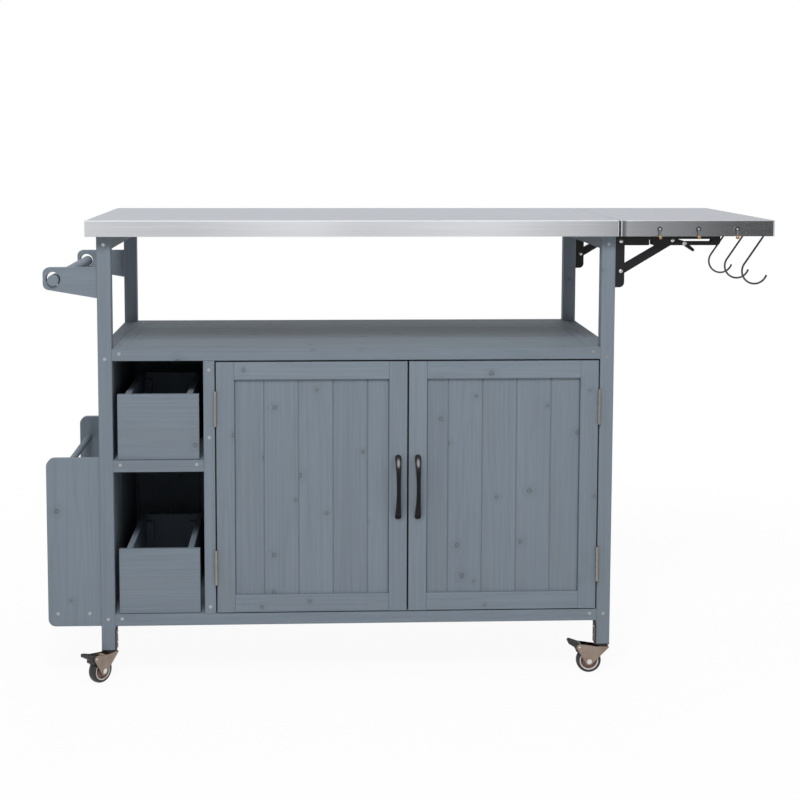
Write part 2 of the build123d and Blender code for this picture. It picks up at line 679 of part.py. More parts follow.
def make_hinges():
    frame_leaves = []
    for side, axis_x, jamb, inward in (
        ("left", LEFT_HINGE_X, POST_RIGHT, 1),
        ("right", RIGHT_HINGE_X, RIGHT_LEG_INNER, -1),
    ):
        door_edge = jamb + inward * HINGE_GAP
        frame_leaves += [hinge_leaf(axis_x, jamb, inward, z, 0, False) for z in hinge_levels()]
        door_leaves = [hinge_leaf(axis_x, door_edge, -inward, z, 1, True) for z in hinge_levels()]
        keep(f"{side}_door_hinges", *door_leaves, strike(side))
    keep("frame_hinge_leaves", *frame_leaves)


def door_span(side):
    """A door's left and right edges."""
    if side == "left":
        left = POST_RIGHT + HINGE_GAP
    else:
        left = RIGHT_LEG_INNER - HINGE_GAP - DOOR_WIDTH
    return left, left + DOOR_WIDTH


def strike(side):
    """The steel strip behind a door's free corner that its catch holds."""
    left, right = door_span(side)
    x1 = right - STILE / 2 if side == "left" else left + STILE / 2 + STRIKE_LENGTH
    top = DOOR_TOP - STRIKE_FROM_TOP
    return block(x1 - STRIKE_LENGTH, x1, DOOR_THICKNESS, DOOR_THICKNESS + STRIKE_SHEET, top - STRIKE_HEIGHT, top)


def make_catches():
    front = DOOR_THICKNESS + STRIKE_SHEET + CATCH_AIR
    front = max(front, RAIL_THICKNESS)
    catches = []
    for side in ("left", "right"):
        plate = strike(side).bounding_box()
        middle = (plate.min.X + plate.max.X) / 2
        body = block(
            middle - CATCH_LENGTH / 2, middle + CATCH_LENGTH / 2, front, front + CATCH_DEPTH,
            CABINET_TOP - CATCH_HEIGHT, CABINET_TOP)
        catches.append(chamfer(body.faces().sort_by(Axis.Z)[0].edges(), EASE))
    keep("door_catches", *catches)


def make_door(side):
    left, right = door_span(side)
    panel_left = left + STILE
    panel_right = right - STILE
    panel_foot = DOOR_FOOT + DOOR_RAIL
    panel_top = DOOR_TOP - DOOR_RAIL
    stiles = [
        board(x0, x0 + STILE, 0.0, DOOR_THICKNESS, DOOR_FOOT, DOOR_TOP)
        for x0 in (left, panel_right)
    ]
    rails = [
        board(panel_left, panel_right, 0.0, DOOR_THICKNESS, z0, z0 + DOOR_RAIL)
        for z0 in (DOOR_FOOT, panel_top)
    ]
    keep(f"{side}_door_frame", *stiles, *rails)
    toward = 1 if side == "left" else -1
    hinge_edge = panel_left if side == "left" else panel_right
    free_edge = panel_right if side == "left" else panel_left
    first_seam = hinge_edge + toward * DOOR_OUTER_BOARD
    full = int(abs(free_edge - first_seam) // DOOR_BOARD_PITCH)
    seams = [hinge_edge] + [first_seam + toward * DOOR_BOARD_PITCH * i for i in range(full + 1)] + [free_edge]
    boards = []
    for a, b in zip(seams, seams[1:]):
        x0, x1 = sorted((a, b))
        boards.append(board(
            x0, x1, DOOR_BOARD_RECESS, DOOR_BOARD_RECESS + PANEL_BOARD, panel_foot, panel_top, GROOVE))
    keep(f"{side}_door_boards", *boards)
    handle_x = right - STILE / 2 if side == "left" else left + STILE / 2
    keep(f"{side}_door_handle", bow_handle(handle_x, (DOOR_FOOT + DOOR_TOP) / 2))


def bow_handle(x, z):
    """A cast bow with flared feet and a narrow waist."""
    half = HANDLE_LENGTH / 2
    inner_half = half - HANDLE_FOOT
    inner_height = HANDLE_HEIGHT - HANDLE_BOW
    bow = make_face([
        ThreePointArc((0, -half), (HANDLE_HEIGHT, 0), (0, half)),
        Line((0, half), (0, inner_half)),
        ThreePointArc((0, inner_half), (inner_height, 0), (0, -inner_half)),
        Line((0, -inner_half), (0, -half)),
    ])
    side_view = Plane(origin=(x - HANDLE_END_WIDTH / 2, 0, z), x_dir=(0, -1, 0), z_dir=(-1, 0, 0))
    solid = extrude(side_view * bow, amount=-HANDLE_END_WIDTH)
    end = HANDLE_END_WIDTH / 2
    waist = HANDLE_WAIST / 2
    round_start = half - end
    front_view = make_face([
        ThreePointArc((-end, -round_start), (0, -half), (end, -round_start)),
        ThreePointArc((end, -round_start), (waist, 0), (end, round_start)),
        ThreePointArc((end, round_start), (0, half), (-end, round_start)),
        ThreePointArc((-end, round_start), (-waist, 0), (-end, -round_start)),
    ])
    limit = from_front(Pos(x, z) * front_view, -HANDLE_HEIGHT, 0.0)
    return solid & limit


# Towel bar and rack

def towel_centre():
    """The middle of the brackets' holes, as x and z."""
    return (TOWEL_FROM_TIP - SIDE_REACH, TOWEL_BRACKET_TOP - TOWEL_BELOW_TOP)


def side_board_fronts():
    """The front faces of a pair of boards that stand out from the left legs."""
    return (SIDE_BOARD_SETBACK, FRAME_DEPTH - SIDE_BOARD_SETBACK - SIDE_BOARD)


def towel_bar_height():
    """The bar lies at the foot of its holes."""
    return towel_centre()[1] - TOWEL_HOLE_RADIUS + TOWEL_BAR_RADIUS + SEAT_GAP


def make_towel_bar():
    tip = -SIDE_REACH
    outline = make_face(Polyline(
        (0, TOWEL_BRACKET_TOP), (tip, TOWEL_BRACKET_TOP),
        (tip, TOWEL_BRACKET_TOP - TOWEL_BRACKET_TIP), (0, TOWEL_BRACKET_TOP - TOWEL_BRACKET_ROOT),
        close=True))
    outline = fillet(outline.vertices().sort_by(Axis.X)[:2], TOWEL_TIP_RADIUS)
    outline = outline - Pos(*towel_centre()) * Circle(TOWEL_HOLE_RADIUS)
    fronts = side_board_fronts()
    keep("towel_brackets", *[from_front(outline, y, y + SIDE_BOARD) for y in fronts])
    bar = cross_pin(
        towel_centre()[0], towel_bar_height(), TOWEL_BAR_RADIUS,
        fronts[0] - TOWEL_BAR_OUT, fronts[1] + SIDE_BOARD + TOWEL_BAR_OUT)
    keep("towel_bar", chamfer(bar.edges(), EASE))


def make_rack():
    fronts = side_board_fronts()
    inner_front = fronts[0] + SIDE_BOARD
    inner_rear = fronts[1]
    outline = Pos(-SIDE_REACH / 2, (RACK_TOP + FRAME_FOOT) / 2) * Rectangle(SIDE_REACH, RACK_TOP - FRAME_FOOT)
    outline = fillet(outline.vertices().sort_by(Axis.X)[:2], RACK_CORNER)
    rod_x = RACK_ROD_FROM_EDGE - SIDE_REACH
    rod_z = RACK_TOP - RACK_ROD_BELOW_TOP
    socket_front = inner_front - RACK_ROD_SOCKET
    socket_rear = inner_rear + RACK_ROD_SOCKET
    rod = cross_pin(rod_x, rod_z, RACK_ROD_RADIUS, socket_front, socket_rear)
    keep("rack_panels", *[from_front(outline, y, y + SIDE_BOARD) - rod for y in fronts])
    keep("rack_rod", rod)
    floor_z = FRAME_FOOT + RACK_FLOOR_FROM_FOOT
    keep("rack_floor", board(
        EASE - SIDE_REACH, 0.0, inner_front, inner_rear, floor_z, floor_z + SIDE_BOARD))


# Casters

def caster_mount(name):
    """Plate, side flange, ball race and king pin under one leg."""
    x, y = LEG_SPOTS[name]
    half = LEG / 2
    inward = 1 if name.endswith("left") else -1
    plate_foot = CASTER_HEIGHT - MOUNT_PLATE
    race_foot = plate_foot - RACE_HEIGHT
    crown_foot = race_foot - SWIVEL_PLAY - FORK_CROWN
    head_top = crown_foot - SWIVEL_PLAY
    flange_x = sorted((inward * half, inward * (half + MOUNT_PLATE)))
    plate_x = sorted((-inward * half, inward * (half + MOUNT_PLATE)))
    solid = block(*plate_x, -half, half, plate_foot, CASTER_HEIGHT)
    solid = solid + block(*flange_x, -half, half, plate_foot, CASTER_HEIGHT + MOUNT_FLANGE)
    solid = solid + Pos(0, 0, race_foot + RACE_HEIGHT / 2) * Cylinder(RACE_RADIUS, RACE_HEIGHT)
    pin_foot = head_top - KING_HEAD
    solid = solid + Pos(0, 0, (pin_foot + race_foot) / 2) * Cylinder(KING_PIN_RADIUS, race_foot - pin_foot)
    solid = solid + Pos(0, 0, head_top - KING_HEAD / 2) * Cylinder(KING_HEAD_RADIUS, KING_HEAD)
    return Pos(x, y, 0) * solid


def fork_half_width():
    return WHEEL_WIDTH / 2 + FORK_SIDE_PLAY


def caster_fork():
    """Crown and two cheeks, with the axle and the pedal's pin."""
    crown_top = CASTER_HEIGHT - MOUNT_PLATE - RACE_HEIGHT - SWIVEL_PLAY
    crown_foot = crown_top - FORK_CROWN
    inner = fork_half_width()
    outer = inner + FORK_SHEET
    reach = FORK_CROWN_REACH
    axle = (-TRAIL, WHEEL_RADIUS)
    pedal = (-PEDAL_RUN, PEDAL_HEIGHT)
    crown_side = Pos(0, (crown_top + crown_foot) / 2) * Rectangle(2 * reach, FORK_CROWN)
    axle_eye = Pos(*axle) * Circle(FORK_EYE_RADIUS)
    pedal_eye = Pos(*pedal) * Circle(PEDAL_EYE_RADIUS)
    shoulder = Pos(-reach, (crown_top + crown_foot) / 2) * Circle(FORK_CROWN / 2)
    cheek = make_hull(crown_side.edges() + axle_eye.edges())
    cheek = cheek + make_hull(shoulder.edges() + axle_eye.edges() + pedal_eye.edges())
    cheek = cheek - Pos(*axle) * Circle(AXLE_RADIUS + RUNNING_FIT / 2)
    cheek = cheek - Pos(*pedal) * Circle(PEDAL_PIN_RADIUS + RUNNING_FIT / 2)
    crown = block(-reach, reach, -outer, outer, crown_foot, crown_top)
    bore = Pos(0, 0, crown_top) * Cylinder(KING_PIN_RADIUS + RUNNING_FIT, 4 * FORK_CROWN)
    frame = crown + from_front(cheek, -outer, -inner) + from_front(cheek, inner, outer) - bore
    axle_pin = cross_pin(*axle, AXLE_RADIUS, -outer - AXLE_HEAD, outer + AXLE_HEAD)
    for y0 in (-outer - AXLE_HEAD, outer):
        axle_pin = axle_pin + cross_pin(*axle, AXLE_HEAD_RADIUS, y0, y0 + AXLE_HEAD)
    pedal_pin = cross_pin(*pedal, PEDAL_PIN_RADIUS, -outer, outer)
    return [frame, axle_pin, pedal_pin]


def caster_wheel():
    """A moulded hub in a rubber tyre, drawn as half sections and turned about the axle."""
    half = WHEEL_WIDTH / 2
    bore = AXLE_RADIUS + RUNNING_FIT
    boss = half + HUB_BOSS_STEP
    rim = half - HUB_RIM
    web = half - HUB_DISH
    hub_side = [
        (bore, boss), (HUB_BOSS_RADIUS, boss), (HUB_BOSS_RADIUS + HUB_RIM, web),
        (HUB_RADIUS - HUB_RIM, web), (HUB_RADIUS - HUB_RIM / 2, rim), (HUB_RADIUS, rim),
    ]
    hub_points = [(r, -w) for r, w in hub_side] + [(r, w) for r, w in reversed(hub_side)]
    hub = revolve(make_face(Polyline(*hub_points, close=True)), Axis.Y)
    tread = WHEEL_RADIUS - TYRE_SHOULDER
    section = make_face([
        Line((HUB_RADIUS, -half + 1), (tread, -half)),
        ThreePointArc((tread, -half), (WHEEL_RADIUS, 0), (tread, half)),
        Line((tread, half), (HUB_RADIUS, half - 1)),
        Line((HUB_RADIUS, half - 1), (HUB_RADIUS, -half + 1)),
    ])
    tyre = revolve(section, Axis.Y)
    centre = Pos(-TRAIL, 0, WHEEL_RADIUS)
    return [centre * hub, centre * tyre]


def caster_pedal():
    """A foot tab that presses its shoe towards the tread."""
    pivot = (-PEDAL_RUN, PEDAL_HEIGHT)
    tab = capsule(pivot, PEDAL_EYE_RADIUS, shifted(pivot, PEDAL_TAB), PEDAL_TAB_RADIUS)
    shoe = capsule(pivot, PEDAL_EYE_RADIUS, shifted(pivot, PEDAL_SHOE), PEDAL_SHOE_RADIUS)
    outline = tab + shoe - Pos(*pivot) * Circle(PEDAL_PIN_RADIUS + RUNNING_FIT)
    half = fork_half_width() - PEDAL_SIDE_PLAY
    return from_front(outline, -half, half)


def make_casters():
    keep("caster_mounts", *[caster_mount(name) for name in LEG_SPOTS])
    for name, (x, y) in LEG_SPOTS.items():
        place = Pos(x, y, 0) * Rot(0, 0, SWIVEL_TURNS[name])
        keep(f"{name}_caster_fork", *[place * solid for solid in caster_fork()])
        keep(f"{name}_caster_wheel", *[place * solid for solid in caster_wheel()])
        keep(f"{name}_caster_pedal", place * caster_pedal())


# Screws

def screw_body(length, sunk, play=0.0):
    """A screw along Z that goes in downwards from its face at zero."""
    head = SCREW_HEAD_RADIUS + play
    shank = SCREW_SHANK_RADIUS + play
    if sunk:
        section = [(0, 0), (head, 0), (head, -SCREW_SINK), (shank, -SCREW_SINK - SCREW_HEAD)]
    else:
        section = [(0, SCREW_HEAD), (head / 2, SCREW_HEAD), (head, SCREW_HEAD / 3), (head, 0), (shank, 0)]
    outline = make_face(Polyline(*section, (shank, -length - play), (0, -length - play), close=True))
    return revolve(Plane.XZ * outline, Axis.Z)


def screw(length, sunk):
    """A screw with a cross recess in its head."""
    top = -SCREW_SINK if sunk else SCREW_HEAD
    solid = screw_body(length, sunk)
    if sunk:
        solid = solid - Pos(0, 0, -SCREW_SINK / 2) * Cylinder(2 * SCREW_HEAD_RADIUS, SCREW_SINK)
    slit = Pos(0, 0, top - RECESS_DEPTH / 2) * Box(RECESS_LENGTH, RECESS_WIDTH, RECESS_DEPTH)
    return solid - slit - Rot(0, 0, 90) * slit


def front_screw_spots():
    """Where screws go into the front, as x and z."""
    rail_ends = (LEG + RAIL_SCREW_INSET, RIGHT_LEG_INNER - RAIL_SCREW_INSET)
    spots = [(x, top - RAIL_SCREW_DROP) for x in rail_ends for top in (SHELF_TOP, FLOOR_TOP)]
    leg_levels = (CORE_FOOT - TOP_SCREW_DROP, SHELF_TOP - SHELF_SCREW_DROP, FLOOR_TOP - FLOOR_SCREW_DROP)
    return spots + [(x, z) for x in (LEG / 2, FRAME_LENGTH - LEG / 2) for z in leg_levels]


def column_screw_spots():
    """Screws through the cubby rail and the divider post, as x and z."""
    rail_ends = (LEG + RAIL_SCREW_INSET, POST_LEFT - RAIL_SCREW_INSET)
    spots = [(x, CUBBY_TOP - RAIL_SCREW_DROP) for x in rail_ends]
    post = (POST_LEFT + POST_RIGHT) / 2
    return spots + [(post, SHELF_RAIL_FOOT - drop) for drop in POST_SCREW_DROPS]


def screw_places():
    """The seat of every frame screw, with Z out of the wood."""
    into_front = Rot(90, 0, 0)
    into_rear = Rot(-90, 0, 0)
    rack_z = FRAME_FOOT + RACK_FLOOR_FROM_FOOT + SIDE_BOARD / 2
    rack_spots = [(inset - SIDE_REACH, rack_z) for inset in RACK_SCREW_INSETS]
    rack_front = SIDE_BOARD_SETBACK
    places = [Pos(x, 0, z) * into_front for x, z in front_screw_spots() + column_screw_spots()]
    places += [Pos(x, FRAME_DEPTH, z) * into_rear for x, z in front_screw_spots()]
    places += [Pos(x, rack_front, z) * into_front for x, z in rack_spots]
    places += [Pos(x, FRAME_DEPTH - rack_front, z) * into_rear for x, z in rack_spots]
    return places


def flange_places():
    """The seat of every screw through a caster mount's flange."""
    places = []
    for name, (x, y) in LEG_SPOTS.items():
        inward = 1 if name.endswith("left") else -1
        face = x + inward * (LEG / 2 + MOUNT_PLATE)
        places += [Pos(face, y, CASTER_HEIGHT + rise) * Rot(0, inward * 90, 0) for rise in FLANGE_SCREW_RISES]
    return places


def make_screws():
    """Drills the pieces and drives the screws."""
    for name, places, length, sunk, drilled in (
        ("frame_screws", screw_places(), SCREW_LENGTH, True, (
            "front_legs", "rear_legs", "top_rails", "shelf_rails", "bottom_rails", "shelf_boards", "cabinet_floor",
            "cubby_shelf", "divider_post", "divider_panel", "side_panels", "rack_panels", "rack_floor")),
        ("caster_screws", flange_places(), FLANGE_SCREW_LENGTH, False, ("front_legs", "rear_legs", "caster_mounts")),
    ):
        hole = screw_body(length, sunk, SCREW_PLAY)
        holes = [place * hole for place in places]
        for node in drilled:
            nodes[node] = [drill(solid, holes) for solid in nodes[node]]
        head = screw(length, sunk)
        keep(name, *[place * head for place in places])


def drill(solid, holes):
    """Takes out the holes that reach a solid."""
    room = solid.bounding_box()
    for hole in holes:
        reach = hole.bounding_box()
        apart = any(
            getattr(room.max, axis) <= getattr(reach.min, axis) or getattr(reach.max, axis) <= getattr(room.min, axis)
            for axis in "XYZ")
        if not apart:
            solid = solid - hole
    return solid


make_frame()
make_shelf_and_floor()
make_panels()
make_column()
make_bin("upper_bin", CUBBY_TOP)
make_bin("lower_bin", FLOOR_TOP)
make_worktop()
make_leaf()
make_hooks()
make_brackets()
make_hinges()
make_catches()
for door in ("left", "right"):
    make_door(door)
make_towel_bar()
make_rack()
make_casters()
make_screws()

# The origin goes to the floor under the middle of the whole cart
box = Compound(children=[solid for solids in nodes.values() for solid in solids]).bounding_box()
ORIGIN = ((box.min.X + box.max.X) / 2, (box.min.Y + box.max.Y) / 2, box.min.Z)
to_origin = Pos(-ORIGIN[0], -ORIGIN[1], -ORIGIN[2])
for name, solids in nodes.items():
    export_step(to_origin * Compound(children=solids), f"parts/{name}.step")
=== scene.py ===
"""Looks of an outdoor kitchen cart: stained fir, brushed steel tops, black brackets and plated casters.

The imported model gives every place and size. Distances that are written here are in metres, and the scales of
patterns are in waves to the metre along each axis.
"""

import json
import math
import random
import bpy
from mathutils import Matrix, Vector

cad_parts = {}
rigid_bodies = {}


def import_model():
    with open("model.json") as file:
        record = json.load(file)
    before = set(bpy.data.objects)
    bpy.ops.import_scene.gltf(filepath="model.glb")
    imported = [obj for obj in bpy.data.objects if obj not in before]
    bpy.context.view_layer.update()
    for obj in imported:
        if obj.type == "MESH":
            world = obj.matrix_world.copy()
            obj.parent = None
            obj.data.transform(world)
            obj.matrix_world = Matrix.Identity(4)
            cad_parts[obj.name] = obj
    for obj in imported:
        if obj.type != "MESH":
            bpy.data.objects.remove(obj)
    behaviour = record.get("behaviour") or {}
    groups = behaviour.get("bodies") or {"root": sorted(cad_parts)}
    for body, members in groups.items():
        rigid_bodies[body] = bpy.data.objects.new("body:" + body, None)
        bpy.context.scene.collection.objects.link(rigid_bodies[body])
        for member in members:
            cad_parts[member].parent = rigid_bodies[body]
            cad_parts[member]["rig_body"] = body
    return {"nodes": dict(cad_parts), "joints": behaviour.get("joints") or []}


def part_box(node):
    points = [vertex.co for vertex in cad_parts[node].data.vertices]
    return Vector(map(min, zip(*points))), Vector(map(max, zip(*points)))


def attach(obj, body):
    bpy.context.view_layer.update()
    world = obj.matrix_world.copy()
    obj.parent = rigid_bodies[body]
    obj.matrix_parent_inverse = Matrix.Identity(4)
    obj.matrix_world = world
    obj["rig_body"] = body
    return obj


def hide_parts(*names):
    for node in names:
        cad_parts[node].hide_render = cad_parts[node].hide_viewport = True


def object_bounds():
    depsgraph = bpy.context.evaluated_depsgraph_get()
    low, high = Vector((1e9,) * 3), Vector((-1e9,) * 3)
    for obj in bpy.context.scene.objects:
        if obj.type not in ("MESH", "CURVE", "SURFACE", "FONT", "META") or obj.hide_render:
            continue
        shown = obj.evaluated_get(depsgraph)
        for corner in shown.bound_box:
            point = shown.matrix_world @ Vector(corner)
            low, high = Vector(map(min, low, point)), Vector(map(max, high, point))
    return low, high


bl_info = {
    "name": "Outdoor Kitchen Cart",
    "version": (1, 0, 0),
    "blender": (4, 5, 0),
    "location": "View3D > Sidebar > Cart",
    "description": "Dresses the packed outdoor kitchen cart in wood, steel and rubber",
    "category": "Object",
}

import bmesh
import bpy
from bpy.props import FloatProperty, FloatVectorProperty, PointerProperty
from bpy.types import Operator, Panel, PropertyGroup
from mathutils import Matrix, Vector

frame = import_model()
CAD_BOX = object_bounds()
LEG_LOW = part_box("front_legs")[0]
UPWARD = Vector((0, 0, 1))
CORNERS = ("front_left", "front_right", "rear_left", "rear_right")
ROWS = ("front", "rear")
SIDES = ("left", "right")
WHITE = (1, 1, 1, 1)

# Settings that a user may change

UNIT = {"min": 0, "max": 1}


class CartWoodSettings(PropertyGroup):
    """Stain and figure of the fir boards."""
    stain_light: FloatVectorProperty(
        name="Stain, early wood", description="Colour of the stain between the rings",
        subtype="COLOR", default=(0.196, 0.234, 0.276), **UNIT)
    stain_dark: FloatVectorProperty(
        name="Stain, late wood", description="Colour of the stain on the rings",
        subtype="COLOR", default=(0.160, 0.190, 0.222), **UNIT)
    knot: FloatVectorProperty(
        name="Knot", description="Colour of the knots under the stain",
        subtype="COLOR", default=(0.085, 0.092, 0.102), **UNIT)
    worn: FloatVectorProperty(
        name="Thin stain", description="Colour where the stain is thin and the wood shows through",
        subtype="COLOR", default=(0.175, 0.186, 0.198), **UNIT)
    raw: FloatVectorProperty(
        name="Raw board", description="Colour of the boards under the steel",
        subtype="COLOR", default=(0.200, 0.188, 0.170), **UNIT)
    ring_pitch: FloatProperty(
        name="Ring pitch", description="Distance from one year's ring to the next",
        unit="LENGTH", min=0.002, max=0.02, default=0.0052)
    edge: FloatProperty(
        name="Edge", description="Width of the sanded edges",
        unit="LENGTH", min=0.0001, max=0.003, default=0.0005)


class CartMetalSettings(PropertyGroup):
    """Finishes of the steel pieces."""
    steel: FloatVectorProperty(
        name="Worktop steel", description="Colour of the brushed sheet",
        subtype="COLOR", default=(0.60, 0.612, 0.640), **UNIT)
    steel_roughness: FloatProperty(
        name="Worktop roughness", description="How dull the brushed sheet is",
        subtype="FACTOR", default=0.22, **UNIT)
    black: FloatVectorProperty(
        name="Black coat", description="Colour of the brackets and handles",
        subtype="COLOR", default=(0.012, 0.012, 0.014), **UNIT)
    plate: FloatVectorProperty(
        name="Bright plate", description="Colour of rivets, pins and eyelets",
        subtype="COLOR", default=(0.62, 0.61, 0.59), **UNIT)
    zinc: FloatVectorProperty(
        name="Zinc", description="Colour of the frame's screws",
        subtype="COLOR", default=(0.40, 0.41, 0.43), **UNIT)
    wire: FloatVectorProperty(
        name="Wire", description="Colour of the hooks",
        subtype="COLOR", default=(0.105, 0.105, 0.110), **UNIT)
    peg: FloatVectorProperty(
        name="Peg", description="Colour of the pegs' flanges and stems",
        subtype="COLOR", default=(0.20, 0.205, 0.215), **UNIT)
    # The pegs' balls are a warm brown
    ball_brown: FloatVectorProperty(
        name="Brass", description="Colour of the pegs' balls",
        subtype="COLOR", default=(0.36, 0.23, 0.12), **UNIT)
    hinge: FloatVectorProperty(
        name="Dull plate", description="Colour of the hinges",
        subtype="COLOR", default=(0.30, 0.275, 0.25), **UNIT)
    bronze: FloatVectorProperty(
        name="Caster plate", description="Colour of the caster forks",
        subtype="COLOR", default=(0.262, 0.207, 0.172), **UNIT)
    mount: FloatVectorProperty(
        name="Caster mount", description="Colour of the plates that hold the casters",
        subtype="COLOR", default=(0.026, 0.021, 0.019), **UNIT)


class CartCasterSettings(PropertyGroup):
    """Finishes of the wheels and pedals."""
    tyre: FloatVectorProperty(
        name="Tyre", description="Colour of the tyres, the pedals and the door catches",
        subtype="COLOR", default=(0.016, 0.016, 0.018), **UNIT)
    ring: FloatVectorProperty(
        name="Ring", description="Colour of the ring between tyre and hub",
        subtype="COLOR", default=(0.55, 0.54, 0.53), **UNIT)
    hub: FloatVectorProperty(
        name="Hub", description="Colour of the hub's cap",
        subtype="COLOR", default=(0.16, 0.085, 0.07), **UNIT)


class CartStageSettings(PropertyGroup):
    """Floor and light."""
    floor: FloatVectorProperty(
        name="Floor", description="Colour of the floor",
        subtype="COLOR", default=(0.86, 0.86, 0.86), **UNIT)
    key_power: FloatProperty(
        name="Key light", description="Power of the large front light",
        unit="POWER", min=0, default=104.0)
    fill_power: FloatProperty(
        name="Fill light", description="Power of the side light",
        unit="POWER", min=0, default=10.0)
    top_power: FloatProperty(
        name="Top light", description="Power of the light overhead",
        unit="POWER", min=0, default=12.0)
    back_power: FloatProperty(
        name="Back light", description="Power of the light behind the cart",
        unit="POWER", min=0, default=45.0)
    ambient: FloatProperty(
        name="Ambient", description="Strength of the light from all round",
        min=0, default=0.34)


# Node trees

NOISE_ROUGHNESS = 0.55
FINE_NOISE = 3.0
SOFT_NOISE = 2.0


def new_material(name):
    """A material with its tree and its shader."""
    material = bpy.data.materials.new(name)
    material.use_nodes = True
    tree = material.node_tree
    return material, tree, tree.nodes["Principled BSDF"]


def seen_but_no_lamp(material):
    """A glow that rays may meet but that isn't picked as a lamp."""
    material.cycles.emission_sampling = "NONE"


def feed(tree, node, inputs):
    """Gives each named input a value, or a link where it gets the output socket of another node."""
    for name, value in inputs.items():
        socket = node.inputs[name]
        if isinstance(value, bpy.types.NodeSocket):
            tree.links.new(value, socket)
        else:
            socket.default_value = value


def add_node(tree, kind, inputs=None, **settings):
    """Adds a shader node with its settings and inputs."""
    node = tree.nodes.new(f"ShaderNode{kind}")
    for name, value in settings.items():
        setattr(node, name, value)
    feed(tree, node, inputs or {})
    return node


def calculate(tree, operation, first, second=0.0):
    """The result of an operation on one or two values."""
    return add_node(tree, "Math", {0: first, 1: second}, operation=operation).outputs[0]


def weighted_sum(tree, start, *terms):
    """A start value plus each term times its weight."""
    total = start
    for term, weight in terms:
        node = add_node(tree, "Math", {0: term, 1: weight, 2: total}, operation="MULTIPLY_ADD")
        total = node.outputs[0]
    return total


def vector_result(tree, operation, first, second=None):
    """The node of an operation on one or two vectors."""
    inputs = {0: first} if second is None else {0: first, 1: second}
    return add_node(tree, "VectorMath", inputs, operation=operation)


def split_vector(tree, vector):
    """The three coordinates of a vector, by their names."""
    return add_node(tree, "SeparateXYZ", {"Vector": vector}).outputs


def object_place(tree):
    """The place on the piece before it moves."""
    return add_node(tree, "TexCoord").outputs["Object"]


def ramp_between(tree, value, low, high, start=0.0, end=1.0):
    """A smooth step of a value from one range into another."""
    node = add_node(tree, "MapRange", {
        "Value": value, "From Min": low, "From Max": high, "To Min": start, "To Max": end,
    }, interpolation_type="SMOOTHSTEP")
    return node.outputs["Result"]


def noise(tree, place, scales, detail=FINE_NOISE):
    """Noise with its own scale along each axis."""
    mapped = add_node(tree, "Mapping", {"Vector": place, "Scale": scales})
    node = add_node(tree, "TexNoise", {
        "Vector": mapped.outputs["Vector"], "Scale": 1.0, "Detail": detail, "Roughness": NOISE_ROUGHNESS,
    })
    return node.outputs["Fac"]


def mix_colours(tree, factor, first, second):
    """A mix of two colours."""
    node = add_node(tree, "Mix", {0: factor}, data_type="RGBA")
    colours = [number for number, socket in enumerate(node.inputs) if socket.type == "RGBA"]
    feed(tree, node, dict(zip(colours, (first, second))))
    return next(socket for socket in node.outputs if socket.type == "RGBA")


def brightened(tree, colour, value):
    """A colour times a value."""
    return add_node(tree, "HueSaturation", {"Color": colour, "Value": value}).outputs["Color"]


def bump(tree, height, strength, depth):
    """The normals of a relief."""
    node = add_node(tree, "Bump", {"Height": height, "Strength": strength, "Distance": depth})
    return node.outputs["Normal"]


def white_glow(tree, strength):
    """White light from a surface."""
    return add_node(tree, "Emission", {"Color": WHITE, "Strength": strength}).outputs["Emission"]


def backdrop_rays(tree):
    """1 for a ray that shows the white backdrop: from the camera, off polished metal or through glass."""
    rays = add_node(tree, "LightPath").outputs
    seen = calculate(tree, "MAXIMUM", rays["Is Camera Ray"], rays["Is Glossy Ray"])
    return calculate(tree, "MAXIMUM", seen, rays["Is Transmission Ray"])


def woods():
    """The settings of the boards."""
    return bpy.context.scene.cart_wood


def metals():
    """The settings of the steel pieces."""
    return bpy.context.scene.cart_metal


def wheels():
    """The settings of the wheels."""
    return bpy.context.scene.cart_casters


def opaque(colour):
    """A colour with full cover."""
    return (*colour, 1.0)


def scaled(colour, factor):
    """A lighter or darker colour."""
    return tuple(min(1.0, channel * factor) for channel in colour)


# Fir: knots in cells of the board's face, with their distances in knot sizes and their sizes in cell widths

KNOT_CELLS = 10.5
KNOTLESS_SHARE = 0.56
SMALLEST_KNOT = 0.026
KNOT_SPREAD = 0.024
KNOT_WANDER_SCALE = 260.0
KNOT_WANDER = 0.0016
HEART_FADE = (1.0, 0.5)
RIM_FADE = (1.5, 1.0)
RIM_HOLLOW = (0.45, 0.85)
HALO_FADE = (5.0, 1.2)


def knots(tree, place):
    """Masks of the knots' hearts, of their dark rims and of the halos round them."""
    show = add_node(tree, "Attribute", attribute_name="knot_show").outputs["Fac"]
    swirl = add_node(tree, "TexNoise", {"Vector": place, "Scale": KNOT_WANDER_SCALE, "Detail": 1.0})
    wander = add_node(
        tree, "VectorMath", {0: swirl.outputs["Color"], "Scale": KNOT_WANDER}, operation="SCALE")
    spot = vector_result(tree, "ADD", place, wander.outputs["Vector"])
    cells = add_node(tree, "TexVoronoi", {
        "Vector": spot.outputs["Vector"], "Scale": KNOT_CELLS, "Randomness": 1.0}, voronoi_dimensions="2D")
    chance = add_node(tree, "SeparateColor", {"Color": cells.outputs["Color"]}).outputs
    present = calculate(tree, "GREATER_THAN", chance[0], KNOTLESS_SHARE)
    present = calculate(tree, "MULTIPLY", present, show)
    size = weighted_sum(tree, SMALLEST_KNOT, (chance[1], KNOT_SPREAD))
    away = calculate(tree, "DIVIDE", cells.outputs["Distance"], size)
    heart, rim, halo = [
        calculate(tree, "MULTIPLY", ramp_between(tree, away, *fade), present)
        for fade in (HEART_FADE, RIM_FADE, HALO_FADE)
    ]
    rim = calculate(tree, "MULTIPLY", ramp_between(tree, away, *RIM_HOLLOW), rim)
    return heart, rim, halo


# Fir: year rings round the pith

